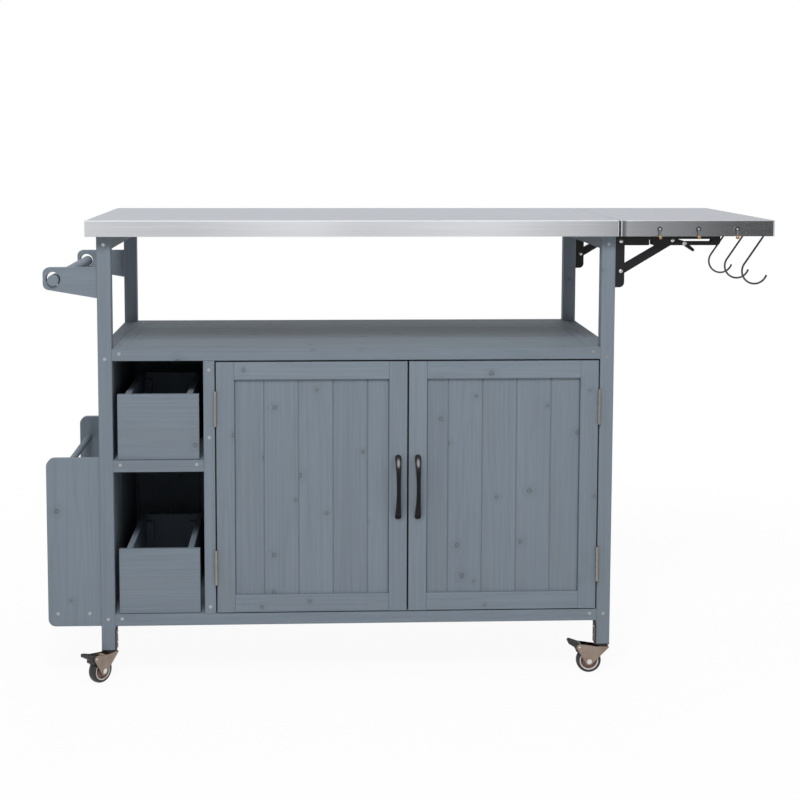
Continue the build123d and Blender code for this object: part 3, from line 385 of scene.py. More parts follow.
RING_WAVES = (1.7, 8.0, 8.0)
RING_WANDER = 0.030
RING_BEND = 0.012
RING_SLANT = 0.012
RING_SHARPNESS = 2.6


def late_wood(tree, place, halo):
    """Mask of the dark part of each year's ring. The rings bend round the knots."""
    axes = split_vector(tree, place)
    drift = noise(tree, place, RING_WAVES, SOFT_NOISE)
    across = add_node(tree, "CombineXYZ", {"Y": axes["Y"], "Z": axes["Z"]}).outputs["Vector"]
    radius = weighted_sum(
        tree, vector_result(tree, "LENGTH", across).outputs["Value"],
        (drift, RING_WANDER), (halo, RING_BEND), (axes["X"], RING_SLANT))
    turns = calculate(tree, "MULTIPLY", radius, 2 * math.pi / woods().ring_pitch)
    wave = weighted_sum(tree, 0.5, (calculate(tree, "SINE", turns), 0.5))
    return calculate(tree, "POWER", wave, RING_SHARPNESS)


# Fir: how much each part of the figure shows

FIBRES = (16.0, 620.0, 620.0)
STREAKS = (3.0, 170.0, 170.0)
CLOUDS = (2.2, 11.0, 11.0)
THIN_PLACES = (3.4, 17.0, 17.0)
RING_SHOW = 0.11
RING_SHOW_BY_KNOT = 0.26
FIBRE_SHOW = 0.50
STREAK_SHOW = 0.75
STAIN_DEPTH = (0.26, 1.12)
LEAST_VALUE = 0.94
BOARD_SHOW = 0.040
CLOUD_SHOW = 0.14
THIN_DEPTH = (0.50, 0.78)
THIN_SHOW = 0.30
HALO_SHOW = 0.12
HALO_PALENESS = 1.5
HEART_SHOW = 0.30
HEART_PALENESS = 1.3
RIM_SHOW = 0.55
WOOD_DULLNESS = 0.52
FIBRE_DULLNESS = 0.22
WOOD_SPECULAR = 0.14
RING_RELIEF = 0.30
HEART_RELIEF = 0.5
WOOD_RELIEF = 0.22
WOOD_RELIEF_DEPTH = 0.0004
RAW_LATE = 0.75
RAW_WORN = 0.9
RAW_KNOT = 0.45


def fir_boards(name, light, dark, worn, knot):
    """Fir with faint rings, long fibres, and knots that go through the board."""
    material, tree, shader = new_material(name)
    place = add_node(tree, "Attribute", attribute_name="grain_place").outputs["Vector"]
    shade = add_node(tree, "Attribute", attribute_name="board_shade").outputs["Fac"]
    heart, rim, halo = knots(tree, place)
    late = late_wood(tree, place, halo)
    fibre = noise(tree, place, FIBRES)
    streak = noise(tree, place, STREAKS)
    cloud = noise(tree, place, CLOUDS, SOFT_NOISE)
    thin = ramp_between(tree, noise(tree, place, THIN_PLACES, SOFT_NOISE), *THIN_DEPTH)

    ring_show = weighted_sum(tree, RING_SHOW, (halo, RING_SHOW_BY_KNOT))
    depth = calculate(tree, "MULTIPLY", late, ring_show)
    depth = weighted_sum(tree, depth, (fibre, FIBRE_SHOW), (streak, STREAK_SHOW))
    stain = mix_colours(tree, ramp_between(tree, depth, *STAIN_DEPTH), opaque(light), opaque(dark))
    value = weighted_sum(tree, LEAST_VALUE, (shade, BOARD_SHOW), (cloud, CLOUD_SHOW))
    tone = brightened(tree, stain, value)
    for mask, show, colour in (
        (thin, THIN_SHOW, worn),
        (halo, HALO_SHOW, scaled(knot, HALO_PALENESS)),
        (heart, HEART_SHOW, scaled(knot, HEART_PALENESS)),
        (rim, RIM_SHOW, knot),
    ):
        tone = mix_colours(tree, calculate(tree, "MULTIPLY", mask, show), tone, opaque(colour))
    relief = weighted_sum(tree, fibre, (late, RING_RELIEF), (heart, HEART_RELIEF))
    feed(tree, shader, {
        "Base Color": tone,
        "Roughness": weighted_sum(tree, WOOD_DULLNESS, (fibre, FIBRE_DULLNESS)),
        "Specular IOR Level": WOOD_SPECULAR,
        "Normal": bump(tree, relief, WOOD_RELIEF, WOOD_RELIEF_DEPTH),
    })
    return material


def stained_fir(name):
    """Fir under a thin blue-grey stain."""
    wood = woods()
    return fir_boards(name, wood.stain_light, wood.stain_dark, wood.worn, wood.knot)


def raw_fir(name):
    """Fir without a stain, for the boards under the steel."""
    raw = woods().raw
    return fir_boards(name, raw, scaled(raw, RAW_LATE), scaled(raw, RAW_WORN), scaled(raw, RAW_KNOT))


# Brushed steel

HAIRS = (7.0, 1500.0, 1500.0)
BANDS = (1.3, 60.0, 60.0)
SMUDGES = (3.0, 3.0, 3.0)
STEEL_VALUE = 0.83
HAIR_SHOW = 0.24
BAND_SHOW = 0.10
SMUDGE_DULLNESS = 0.06
HAIR_DULLNESS = 0.06
HAIR_RELIEF = 0.012
HAIR_DEPTH = 0.0002
GRAZING_STEEL = (0.56, 0.575, 0.615)
BRUSHING = 0.8
QUARTER_TURN = 0.25
# Painted dark reflection on the front skirt beside the leaf's folded end: its fade, its lip and how much it
# darkens
FOLD_FADE = (0.014, 0.006)
FOLD_LIP = (0.001, 0.004)
PAINTED_FOLD_DARKENING = 0.62
FRONT_LEAN = -0.5


def brushed_steel(name, fold_edge=None):
    """Stainless sheet brushed along the cart. Where a folded end is given, a dark reflection is painted on the
    front beside it.
    """
    metal = metals()
    material, tree, shader = new_material(name)
    place = object_place(tree)
    hairs = noise(tree, place, HAIRS)
    bands = noise(tree, place, BANDS, SOFT_NOISE)
    smudges = noise(tree, place, SMUDGES)
    value = weighted_sum(tree, STEEL_VALUE, (hairs, HAIR_SHOW), (bands, BAND_SHOW))
    # A dark reflection is painted beside the folded end
    if fold_edge is not None:
        value = calculate(tree, "MULTIPLY", value, painted_fold_reflection(tree, place, fold_edge))
    least_dull = metal.steel_roughness - SMUDGE_DULLNESS
    along = add_node(tree, "VectorTransform", {"Vector": (1.0, 0.0, 0.0)},
                     vector_type="VECTOR", convert_from="OBJECT", convert_to="WORLD")
    feed(tree, shader, {
        "Base Color": brightened(tree, opaque(metal.steel), value),
        "Roughness": weighted_sum(tree, least_dull, (smudges, SMUDGE_DULLNESS), (hairs, HAIR_DULLNESS)),
        "Metallic": 1.0,
        "Specular Tint": opaque(GRAZING_STEEL),
        "Tangent": along.outputs["Vector"],
        "Anisotropic": BRUSHING,
        "Anisotropic Rotation": QUARTER_TURN,
        "Normal": bump(tree, hairs, HAIR_RELIEF, HAIR_DEPTH),
    })
    return material


def painted_fold_reflection(tree, place, edge):
    """How much of its colour the front skirt keeps beside its folded end, where a dark reflection is painted.
    """
    from_edge = calculate(tree, "SUBTRACT", split_vector(tree, place)["X"], edge)
    facing = add_node(tree, "TexCoord").outputs["Normal"]
    front = calculate(tree, "LESS_THAN", split_vector(tree, facing)["Y"], FRONT_LEAN)
    near = ramp_between(tree, from_edge, *FOLD_FADE)
    lip = ramp_between(tree, from_edge, *FOLD_LIP)
    shaded = calculate(tree, "MULTIPLY", calculate(tree, "MULTIPLY", near, lip), front)
    return weighted_sum(tree, 1.0, (shaded, -PAINTED_FOLD_DARKENING))


def leaf_steel(name):
    """The leaf's sheet, with a dark reflection painted on its front beside the fold at the worktop."""
    return brushed_steel(name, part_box("leaf_pan")[0].x)


# Coats, plates and rubber

MOTTLE_CLOUDS = (35.0, 35.0, 35.0)
MOTTLE_DULLNESS = 0.16
MOTTLE_DEPTH = 0.0003
# The handles' painted highlight: an oval of paler grey, with a shinier coat, on the upper foot
HIGHLIGHT_OVAL_DEPTH = 0.015
HIGHLIGHT_OVAL_HALF_WIDTH = 0.0042
HIGHLIGHT_OVAL_HALF_HEIGHT = 0.0105
HIGHLIGHT_OVAL_FADE = (1.0, 0.3)
PAINTED_HIGHLIGHT_GREY = (0.10, 0.10, 0.105)
HIGHLIGHT_OVAL_SHINE = 0.9
HANDLE_SPECULAR = 0.10
HANDLE_DARKNESS = 0.7


def mottled(name, colour, roughness, grain, relief, metallic=1.0, specular=0.5, clouding=0.35):
    """An even finish with faint mottling."""
    material, tree, shader = new_material(name)
    place = object_place(tree)
    mottle = noise(tree, place, (grain, grain, grain))
    cloud = noise(tree, place, MOTTLE_CLOUDS, SOFT_NOISE)
    value = weighted_sum(tree, 1.0 - clouding / 2, (cloud, clouding))
    feed(tree, shader, {
        "Base Color": brightened(tree, opaque(colour), value),
        "Roughness": weighted_sum(tree, roughness - MOTTLE_DULLNESS / 2, (mottle, MOTTLE_DULLNESS)),
        "Metallic": metallic,
        "Specular IOR Level": specular,
        "Normal": bump(tree, mottle, relief, MOTTLE_DEPTH),
    })
    return material


def handle_black(name):
    """Glossy black with a painted highlight on the upper foot of each handle: an oval of paler grey that is
    also shinier.
    """
    black = scaled(metals().black, HANDLE_DARKNESS)
    material = mottled(name, black, roughness=0.20, grain=500.0, relief=0.03, metallic=0.0)
    tree = material.node_tree
    shader = tree.nodes["Principled BSDF"]
    place = object_place(tree)
    highlight_oval = 0.0
    for side in SIDES:
        low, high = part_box(f"{side}_door_handle")
        centre = ((low.x + high.x) / 2, 0.0, high.z - HIGHLIGHT_OVAL_DEPTH)
        spread = (1 / HIGHLIGHT_OVAL_HALF_WIDTH, 0.0, 1 / HIGHLIGHT_OVAL_HALF_HEIGHT)
        offset = vector_result(tree, "SUBTRACT", place, centre).outputs["Vector"]
        oval = vector_result(tree, "MULTIPLY", offset, spread).outputs["Vector"]
        away = vector_result(tree, "LENGTH", oval).outputs["Value"]
        highlight_oval = calculate(tree, "MAXIMUM", ramp_between(tree, away, *HIGHLIGHT_OVAL_FADE), highlight_oval)
    coat = shader.inputs["Base Color"].links[0].from_socket
    # The paler grey in the oval is a painted highlight, and its higher specular is a real shine
    feed(tree, shader, {
        "Base Color": mix_colours(tree, highlight_oval, coat, opaque(PAINTED_HIGHLIGHT_GREY)),
        "Specular IOR Level": weighted_sum(tree, HANDLE_SPECULAR, (highlight_oval, HIGHLIGHT_OVAL_SHINE)),
    })
    return material


def black_coat(name):
    return mottled(
        name, metals().black, roughness=0.38, grain=900.0, relief=0.12, metallic=0.0, specular=0.26)


def mount_plate(name):
    return mottled(
        name, metals().mount, roughness=0.48, grain=260.0, relief=0.05, metallic=0.0, specular=0.2)


def peg_steel(name):
    return mottled(name, metals().peg, roughness=0.20, grain=300.0, relief=0.03)


# The pegs' balls, in a warm brown
def peg_ball_brown(name):
    return mottled(name, metals().ball_brown, roughness=0.22, grain=400.0, relief=0.03)


def hook_wire(name):
    return mottled(name, metals().wire, roughness=0.24, grain=300.0, relief=0.03)


def screw_zinc(name):
    return mottled(name, metals().zinc, roughness=0.30, grain=400.0, relief=0.05)


def bright_plate(name):
    return mottled(name, metals().plate, roughness=0.22, grain=260.0, relief=0.04)


def dull_plate(name):
    return mottled(name, metals().hinge, roughness=0.36, grain=260.0, relief=0.04)


def caster_plate(name):
    return mottled(name, metals().bronze, roughness=0.16, grain=260.0, relief=0.03, clouding=0.9)


def tyre_rubber(name):
    return mottled(name, wheels().tyre, roughness=0.52, grain=700.0, relief=0.15, metallic=0.0)


def ring_rubber(name):
    return mottled(name, wheels().ring, roughness=0.50, grain=500.0, relief=0.08, metallic=0.0)


def hub_cap(name):
    return mottled(name, wheels().hub, roughness=0.36, grain=300.0, relief=0.06, metallic=0.4)


def moulded_black(name):
    return mottled(name, wheels().tyre, roughness=0.46, grain=1100.0, relief=0.20, metallic=0.0)


FINISHES = {make.__name__: make for make in (
    stained_fir, raw_fir, brushed_steel, leaf_steel, handle_black, black_coat, mount_plate, peg_steel,
    peg_ball_brown, hook_wire, screw_zinc, bright_plate, dull_plate, caster_plate, tyre_rubber, ring_rubber,
    hub_cap, moulded_black,
)}


def finish(name):
    """The material of a finish, which is made once and shared."""
    return bpy.data.materials.get(name) or FINISHES[name](name)


# Shapes

SAME_PLACE = 1e-5
SAME_POINT = 1e-7
FLAT_ANGLE = math.radians(1.0)
SHARP_ANGLE = math.radians(30.0)
ROUND_PROFILE = 0.6
BROAD_FACE_WEIGHT = 60
FINE_EDGE = 0.0002
SHEET_EDGE = 0.0003
PLATE_EDGE = 0.0004
FACE_LEAN = 0.7
KNOTS_ON_FACES = 1.0
KNOTS_ON_EDGES = 0.15
PITH_ALONG = (0, 8)
PITH_ACROSS = (-0.05, 0.05)
PITH_BELOW = (0.03, 0.09)
CORNER_REACH = 0.45


def node_body(node):
    """The body that a CAD node moves with."""
    return frame["nodes"][node]["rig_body"]


def joint_named(name):
    """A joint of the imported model."""
    return next(joint for joint in frame["joints"] if joint["name"] == name)


def link_shape(name, shape, *materials):
    """Puts a bmesh into the scene as a piece with its materials."""
    mesh = bpy.data.meshes.new(name)
    shape.to_mesh(mesh)
    shape.free()
    for material in materials:
        mesh.materials.append(material)
    piece = bpy.data.objects.new(name, mesh)
    bpy.context.scene.collection.objects.link(piece)
    return piece


def link_sheet(name, corners, material):
    """Puts a flat sheet with four corners into the scene."""
    shape = bmesh.new()
    shape.faces.new([shape.verts.new(corner) for corner in corners])
    return link_shape(name, shape, material)


def solids(shape):
    """The separate solids of a bmesh, each as a list of faces that meet in pairs along their edges."""
    seen = set()
    groups = []
    for start in shape.faces:
        if start in seen:
            continue
        seen.add(start)
        group = [start]
        for face in group:
            for line in face.edges:
                if len(line.link_faces) != 2:
                    continue
                for other in line.link_faces:
                    if other not in seen:
                        seen.add(other)
                        group.append(other)
        groups.append(group)
    return groups


def separate_solids(node):
    """A CAD node's shape as a bmesh in which solids that touch share no points."""
    shape = bmesh.new()
    shape.from_mesh(frame["nodes"][node].data)
    bmesh.ops.remove_doubles(shape, verts=shape.verts, dist=SAME_PLACE)
    for group in solids(shape)[1:]:
        bmesh.ops.split(shape, geom=group)
    bmesh.ops.dissolve_limit(
        shape, angle_limit=FLAT_ANGLE, use_dissolve_boundaries=False, verts=shape.verts, edges=shape.edges)
    return shape


def round_edges(shape, lines, edge, segments):
    """Rounds some edges of a bmesh."""
    bmesh.ops.bevel(
        shape, geom=lines, offset=edge, offset_type="OFFSET", segments=segments, profile=ROUND_PROFILE,
        affect="EDGES", clamp_overlap=True)


def soften(shape, edge, segments=2, sharp_angle=SHARP_ANGLE):
    """Rounds every sharp edge of a bmesh."""
    sharp = [line for line in shape.edges if line.is_manifold and line.calc_face_angle(0.0) > sharp_angle]
    round_edges(shape, sharp, edge, segments)
    for face in shape.faces:
        face.smooth = True


def reach_of(group):
    """The lowest and the highest corner of a group of faces."""
    places = [vert.co for face in group for vert in face.verts]
    low = Vector([min(place[axis] for place in places) for axis in range(3)])
    high = Vector([max(place[axis] for place in places) for axis in range(3)])
    return low, high


def settle(piece, node):
    """The piece stands for its CAD node, moves with that node's body and keeps its broad faces flat."""
    modifier = piece.modifiers.new("even normals", "WEIGHTED_NORMAL")
    modifier.keep_sharp = False
    modifier.weight = BROAD_FACE_WEIGHT
    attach(piece, node_body(node))
    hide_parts(node)


def dress_metal(node, main, edge=PLATE_EDGE, segments=2, sharp_angle=SHARP_ANGLE,
                also=(), choose=None, prepare=None):
    """A rounded copy of a CAD node. Where it also has other finishes, choose gives each face its number."""
    shape = separate_solids(node)
    if prepare:
        prepare(shape)
    soften(shape, edge, segments, sharp_angle)
    if choose:
        for group in solids(shape):
            low, high = reach_of(group)
            for face in group:
                face.material_index = choose(face, low, high)
    piece = link_shape(f"{node}_finish", shape, *[finish(name) for name in (main, *also)])
    settle(piece, node)


def dress_boards(node, main="stained_fir"):
    """A sanded copy of a CAD node's boards, each with its own run of grain."""
    shape = separate_solids(node)
    soften(shape, woods().edge)
    grain = shape.verts.layers.float_vector.new("grain_place")
    tone = shape.verts.layers.float.new("board_shade")
    show = shape.faces.layers.float.new("knot_show")
    shape.normal_update()
    for number, group in enumerate(solids(shape)):
        draw = random.Random(f"{node} {number}")
        low, high = reach_of(group)
        order = sorted(range(3), key=lambda axis: low[axis] - high[axis])
        middle = (low + high) / 2
        along = draw.uniform(*PITH_ALONG)
        across = draw.uniform(*PITH_ACROSS)
        pith = (along, across, draw.choice((-1, 1)) * draw.uniform(*PITH_BELOW))
        shade = draw.uniform(-1, 1)
        for face in group:
            broad = abs(face.normal[order[2]]) > FACE_LEAN
            face[show] = KNOTS_ON_FACES if broad else KNOTS_ON_EDGES
        for vert in {vert for face in group for vert in face.verts}:
            vert[grain] = [vert.co[axis] - middle[axis] + start for axis, start in zip(order, pith)]
            vert[tone] = shade
    settle(link_shape(f"{node}_boards", shape, finish(main)), node)


def mirrored(half):
    """A closed profile of radius and width from the points of its upper half, inner ones first."""
    return [(radius, -width) for radius, width in half] + half[::-1]


def rounded_profile(points, radius, steps=4):
    """A closed profile with each corner rounded."""
    result = []
    count = len(points)
    for i in range(count):
        before = Vector(points[i - 1])
        here = Vector(points[i])
        after = Vector(points[(i + 1) % count])
        back = before - here
        ahead = after - here
        reach = min(radius, CORNER_REACH * back.length, CORNER_REACH * ahead.length)
        start = here + back.normalized() * reach
        end = here + ahead.normalized() * reach
        for step in range(steps + 1):
            t = step / steps
            result.append(tuple((1 - t) ** 2 * start + 2 * t * (1 - t) * here + t ** 2 * end))
    return result


def turned(name, profile, material, steps=64):
    """A closed profile of radius and width turned about Z."""
    shape = bmesh.new()
    rings = []
    for step in range(steps):
        angle = 2 * math.pi * step / steps
        rings.append([
            shape.verts.new((radius * math.cos(angle), radius * math.sin(angle), width))
            for radius, width in profile
        ])
    count = len(profile)
    for step in range(steps):
        here = rings[step]
        there = rings[(step + 1) % steps]
        for i in range(count):
            j = (i + 1) % count
            shape.faces.new((here[i], there[i], there[j], here[j]))
    bmesh.ops.remove_doubles(shape, verts=shape.verts, dist=SAME_POINT)
    bmesh.ops.recalc_face_normals(shape, faces=shape.faces)
    for face in shape.faces:
        face.smooth = True
    return link_shape(name, shape, material)


def on_axis(centre, axis):
    """A matrix that takes Z to a level axis through a centre and keeps Y upright."""
    level = Vector(axis).normalized()
    turn = Matrix((UPWARD.cross(level), UPWARD, level)).transposed().to_4x4()
    return Matrix.Translation(Vector(centre)) @ turn


# Operators

class CART_OT_frame_boards(Operator):
    """Dresses the legs, rails, shelves and panels of the frame in stained fir"""
    bl_idname = "cart.frame_boards"
    bl_label = "Frame boards"

    def execute(self, context):
        for node in (
            "front_legs", "rear_legs", "top_rails", "shelf_rails", "shelf_boards", "bottom_rails",
            "cabinet_floor", "divider_post", "divider_panel", "cubby_shelf", "side_panels", "back_panel",
        ):
            dress_boards(node)
        return {"FINISHED"}


class CART_OT_doors(Operator):
    """Dresses both cupboard doors with their handles, hinges and catches"""
    bl_idname = "cart.doors"
    bl_label = "Doors"

    handle_edge = 0.0022
    handle_angle = math.radians(24.0)
    catch_edge = 0.0008

    def execute(self, context):
        for side in SIDES:
            dress_boards(f"{side}_door_frame")
            dress_boards(f"{side}_door_boards")
            dress_metal(
                f"{side}_door_handle", "handle_black",
                edge=self.handle_edge, segments=4, sharp_angle=self.handle_angle)
            dress_metal(f"{side}_door_hinges", "dull_plate", edge=FINE_EDGE)
        dress_metal("frame_hinge_leaves", "dull_plate", edge=FINE_EDGE)
        dress_metal("door_catches", "moulded_black", edge=self.catch_edge)
        return {"FINISHED"}


class CART_OT_bins(Operator):
    """Dresses the two pull-out bins"""
    bl_idname = "cart.bins"
    bl_label = "Bins"

    def execute(self, context):
        dress_boards("upper_bin")
        dress_boards("lower_bin")
        return {"FINISHED"}


class CART_OT_end_fittings(Operator):
    """Dresses the towel bar and the rack on the left end"""
    bl_idname = "cart.end_fittings"
    bl_label = "Towel bar and rack"

    def execute(self, context):
        for node in ("towel_brackets", "towel_bar", "rack_panels", "rack_floor", "rack_rod"):
            dress_boards(node)
        return {"FINISHED"}


class CART_OT_tops(Operator):
    """Dresses the worktop and the leaf in brushed steel over their boards"""
    bl_idname = "cart.tops"
    bl_label = "Worktop and leaf"

    def execute(self, context):
        dress_metal("worktop_pan", "brushed_steel", edge=SHEET_EDGE)
        dress_metal("leaf_pan", "leaf_steel", edge=SHEET_EDGE)
        dress_boards("worktop_core", "raw_fir")
        dress_boards("leaf_core", "raw_fir")
        return {"FINISHED"}


class CART_OT_brackets(Operator):
    """Dresses the folding brackets under the leaf and heads their cross pins"""
    bl_idname = "cart.brackets"
    bl_label = "Folding brackets"

    rivet_span = 0.012
    strut_head_radius = 0.0074
    strut_half_width = 0.005
    arm_half_width = 0.010
    head_radius = 0.0040
    head_height = 0.0020
    shank_radius = 0.0019
    gap = 0.0002
    lever_flat = 0.0009
    lever_head_radius = 0.0038
    lever_head_height = 0.0012
    dome_steps = 5
    head_steps = 24

    def execute(self, context):
        for node in (
            "bracket_wall_plates", "front_strut", "rear_strut", "front_release_lever", "rear_release_lever",
        ):
            dress_metal(node, "black_coat", edge=SHEET_EDGE)
        dress_metal(
            "leaf_arms", "black_coat", edge=SHEET_EDGE,
            also=("bright_plate",), choose=self.arm_or_rivet)
        dress_metal("bracket_rivets", "bright_plate", edge=SHEET_EDGE)
        for row in ROWS:
            self.head_rivets(row)
        return {"FINISHED"}

    def arm_or_rivet(self, face, low, high):
        """The short solids are bright rivets."""
        return 1 if high.x - low.x < self.rivet_span else 0

    def dome(self, seat, radius, height):
        """A domed head's half outline on a seat."""
        angles = [math.pi / 2 * step / self.dome_steps for step in range(self.dome_steps + 1)]
        return [(radius * math.cos(angle), seat + height * math.sin(angle)) for angle in angles]

    def add_head(self, name, profile, centre, way, node):
        """A rivet head that moves with a node's body."""
        head = turned(name, profile, finish("bright_plate"), self.head_steps)
        head.matrix_world = on_axis(centre, (0, way, 0))
        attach(head, node_body(node))

    def head_rivets(self, row):
        """Heads on the strut's cross pin, outside both slots of the arm, and on the lever's rivet."""
        node = f"{row}_strut"
        middle = joint_named(f"{row}_strut_turn")["pos_m"][1]
        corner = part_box(node)[1]
        pin = Vector((corner.x - self.strut_head_radius, middle, corner.z - self.strut_head_radius))
        seat = self.arm_half_width + self.gap
        shank = [
            (0.0, self.strut_half_width),
            (self.shank_radius, self.strut_half_width),
            (self.shank_radius, seat),
        ]
        profile = shank + self.dome(seat, self.head_radius, self.head_height)
        self.add_head(f"{row}_pin_head_near", profile, pin, -1, node)
        self.add_head(f"{row}_pin_head_far", profile, pin, 1, node)
        flat = self.arm_half_width + self.lever_flat
        profile = [(0.0, flat)] + self.dome(flat, self.lever_head_radius, self.lever_head_height)
        pivot = joint_named(f"{row}_lever_turn")["pos_m"]
        self.add_head(f"{row}_lever_head", profile, pivot, -1, "leaf_arms")


class CART_OT_hooks(Operator):
    """Dresses the pegs, eyelets and S-hooks of the leaf"""
    bl_idname = "cart.hooks"
    bl_label = "Pegs and hooks"

    hook_edge = 0.0006
    peg_edge = 0.0005
    flange = 0.0027
    ball_height = 0.0076
    # The peg's bend, up to this height below the flange's middle, gets a painted highlight
    highlight_bend_height = 0.0026

    def execute(self, context):
        for row in ("front", "middle", "rear"):
            dress_metal(f"{row}_s_hook", "hook_wire", edge=self.hook_edge)
        dress_metal(
            "leaf_pegs", "peg_steel", edge=self.peg_edge,
            also=("bright_plate", "peg_ball_brown"), choose=self.peg_finish)
        dress_metal("leaf_eyelets", "bright_plate", edge=FINE_EDGE)
        return {"FINISHED"}

    def peg_finish(self, face, low, high):
        """The bend gets the bright plate as a painted highlight, the ball is a warm brown, and the flange and
        the stem are dark.
        """
        place = face.calc_center_median()
        if place.z < low.z + self.ball_height:
            return 2
        flange_middle = high.z - (high.x - low.x) / 2
        before_flange = place.y < high.y - self.flange
        return 1 if before_flange and place.z > flange_middle - self.highlight_bend_height else 0


class CART_OT_casters(Operator):
    """Makes the wheels and dresses the forks, pedals and mounts of the four casters"""
    bl_idname = "cart.casters"
    bl_label = "Casters"

    tyre_radius = 0.025
    shoulder_radius = 0.0243
    wall_radius = 0.0226
    ring_radius = 0.0190
    cap_radius = 0.0164
    dish_radii = (0.0090, 0.0125)
    boss_radius = 0.0070
    bore_radius = 0.0031
    tyre_half = 0.009
    tread_half = 0.003
    shoulder_drop = 0.003
    wall_drop = 0.001
    ring_drops = (0.0012, 0.0006)
    cap_half = 0.0076
    dish_halves = (0.0055, 0.0050)
    boss_half = 0.0094
    tyre_rounding = 0.0012
    small_rounding = 0.0006
    mount_edge = 0.0005
    pedal_edge = 0.0012
    pin_width = 0.0125
    shoulder_round = 0.0030
    shoulder_length = 0.008
    shoulder_angle = math.radians(60)
    # Faces on the fork's bend that lean this way get a painted highlight line
    highlight_bend_lean = (0.15, 0.97)
    tab = (-0.0195, 0.0095)
    tab_radii = (0.0060, 0.0036)
    rib_radius = 0.0012
    rib_half = 0.0086
    rib_sink = 0.3
    rib_shares = (0.34, 0.58, 0.82)
    rib_steps = 16

    def execute(self, context):
        dress_metal("caster_mounts", "mount_plate", edge=self.mount_edge)
        for corner in CORNERS:
            dress_metal(
                f"{corner}_caster_fork", "caster_plate",
                also=("bright_plate",), choose=self.fork_pin_or_highlight, prepare=self.round_shoulders)
            dress_metal(
                f"{corner}_caster_pedal", "moulded_black", edge=self.pedal_edge, segments=3)
            self.add_ribs(corner)
            self.make_wheel(corner)
        return {"FINISHED"}

    def fork_pin_or_highlight(self, face, low, high):
        """The pins are bright plate, and the fork's bend gets the bright plate as a painted highlight line."""
        bend = self.highlight_bend_lean[0] < face.normal.z < self.highlight_bend_lean[1]
        return 1 if bend or high.z - low.z < self.pin_width else 0

    def round_shoulders(self, shape):
        """Gives the fork the wide bend between its crown and its cheeks."""
        crown = max(vert.co.z for vert in shape.verts)
        shoulders = [
            line for line in shape.edges
            if line.is_manifold and line.calc_length() > self.shoulder_length
            and all(abs(vert.co.z - crown) < SAME_PLACE for vert in line.verts)
            and line.calc_face_angle(0.0) > self.shoulder_angle
        ]
        round_edges(shape, shoulders, self.shoulder_round, segments=4)

    def add_ribs(self, corner):
        """Treads across the pedal's tab."""
        joint = joint_named(f"{corner}_brake_press")
        axle = Vector(joint["axis"])
        ahead = UPWARD.cross(axle)
        run, rise = self.tab
        length = math.hypot(run, rise)
        outward = ahead * (rise / length) + UPWARD * (-run / length)
        first, last = self.tab_radii
        half = [(0.0, self.rib_half), (self.rib_radius, self.rib_half)]
        section = rounded_profile(mirrored(half), self.small_rounding)
        for number, share in enumerate(self.rib_shares):
            middle = ahead * (run * share) + UPWARD * (rise * share)
            lift = first + (last - first) * share - self.rib_radius * self.rib_sink
            rib = turned(f"{corner}_pedal_rib_{number}", section, finish("moulded_black"), self.rib_steps)
            rib.matrix_world = on_axis(Vector(joint["pos_m"]) + middle + outward * lift, axle)
            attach(rib, node_body(f"{corner}_caster_pedal"))

    def make_wheel(self, corner):
        """A tyre, the pale ring inside it and the hub's cap."""
        node = f"{corner}_caster_wheel"
        joint = joint_named(f"{corner}_wheel_spin")
        tyre_section = [
            (self.ring_radius, self.tyre_half - self.wall_drop),
            (self.wall_radius, self.tyre_half),
            (self.shoulder_radius, self.tyre_half - self.shoulder_drop),
            (self.tyre_radius, self.tread_half),
        ]
        ring_section = [
            (radius, self.tyre_half - drop)
            for radius, drop in zip((self.cap_radius, self.ring_radius), self.ring_drops)
        ]
        cap_section = [
            (self.bore_radius, self.boss_half),
            (self.boss_radius, self.boss_half),
            *zip(self.dish_radii, self.dish_halves),
            (self.cap_radius, self.cap_half),
        ]
        for part, half, rounding, main in (
            ("tyre", tyre_section, self.tyre_rounding, "tyre_rubber"),
            ("ring", ring_section, self.small_rounding, "ring_rubber"),
            ("hub", cap_section, self.small_rounding, "hub_cap"),
        ):
            piece = turned(f"{corner}_{part}", rounded_profile(mirrored(half), rounding), finish(main))
            piece.matrix_world = on_axis(joint["pos_m"], joint["axis"])
            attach(piece, node_body(node))
            if part == "tyre":
                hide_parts(node)


class CART_OT_screws(Operator):
    """Dresses the screws of the frame and of the caster mounts"""
    bl_idname = "cart.screws"
    bl_label = "Screws"

    def execute(self, context):
        dress_metal("frame_screws", "screw_zinc", edge=FINE_EDGE)
        dress_metal("caster_screws", "bright_plate", edge=FINE_EDGE)
        return {"FINISHED"}


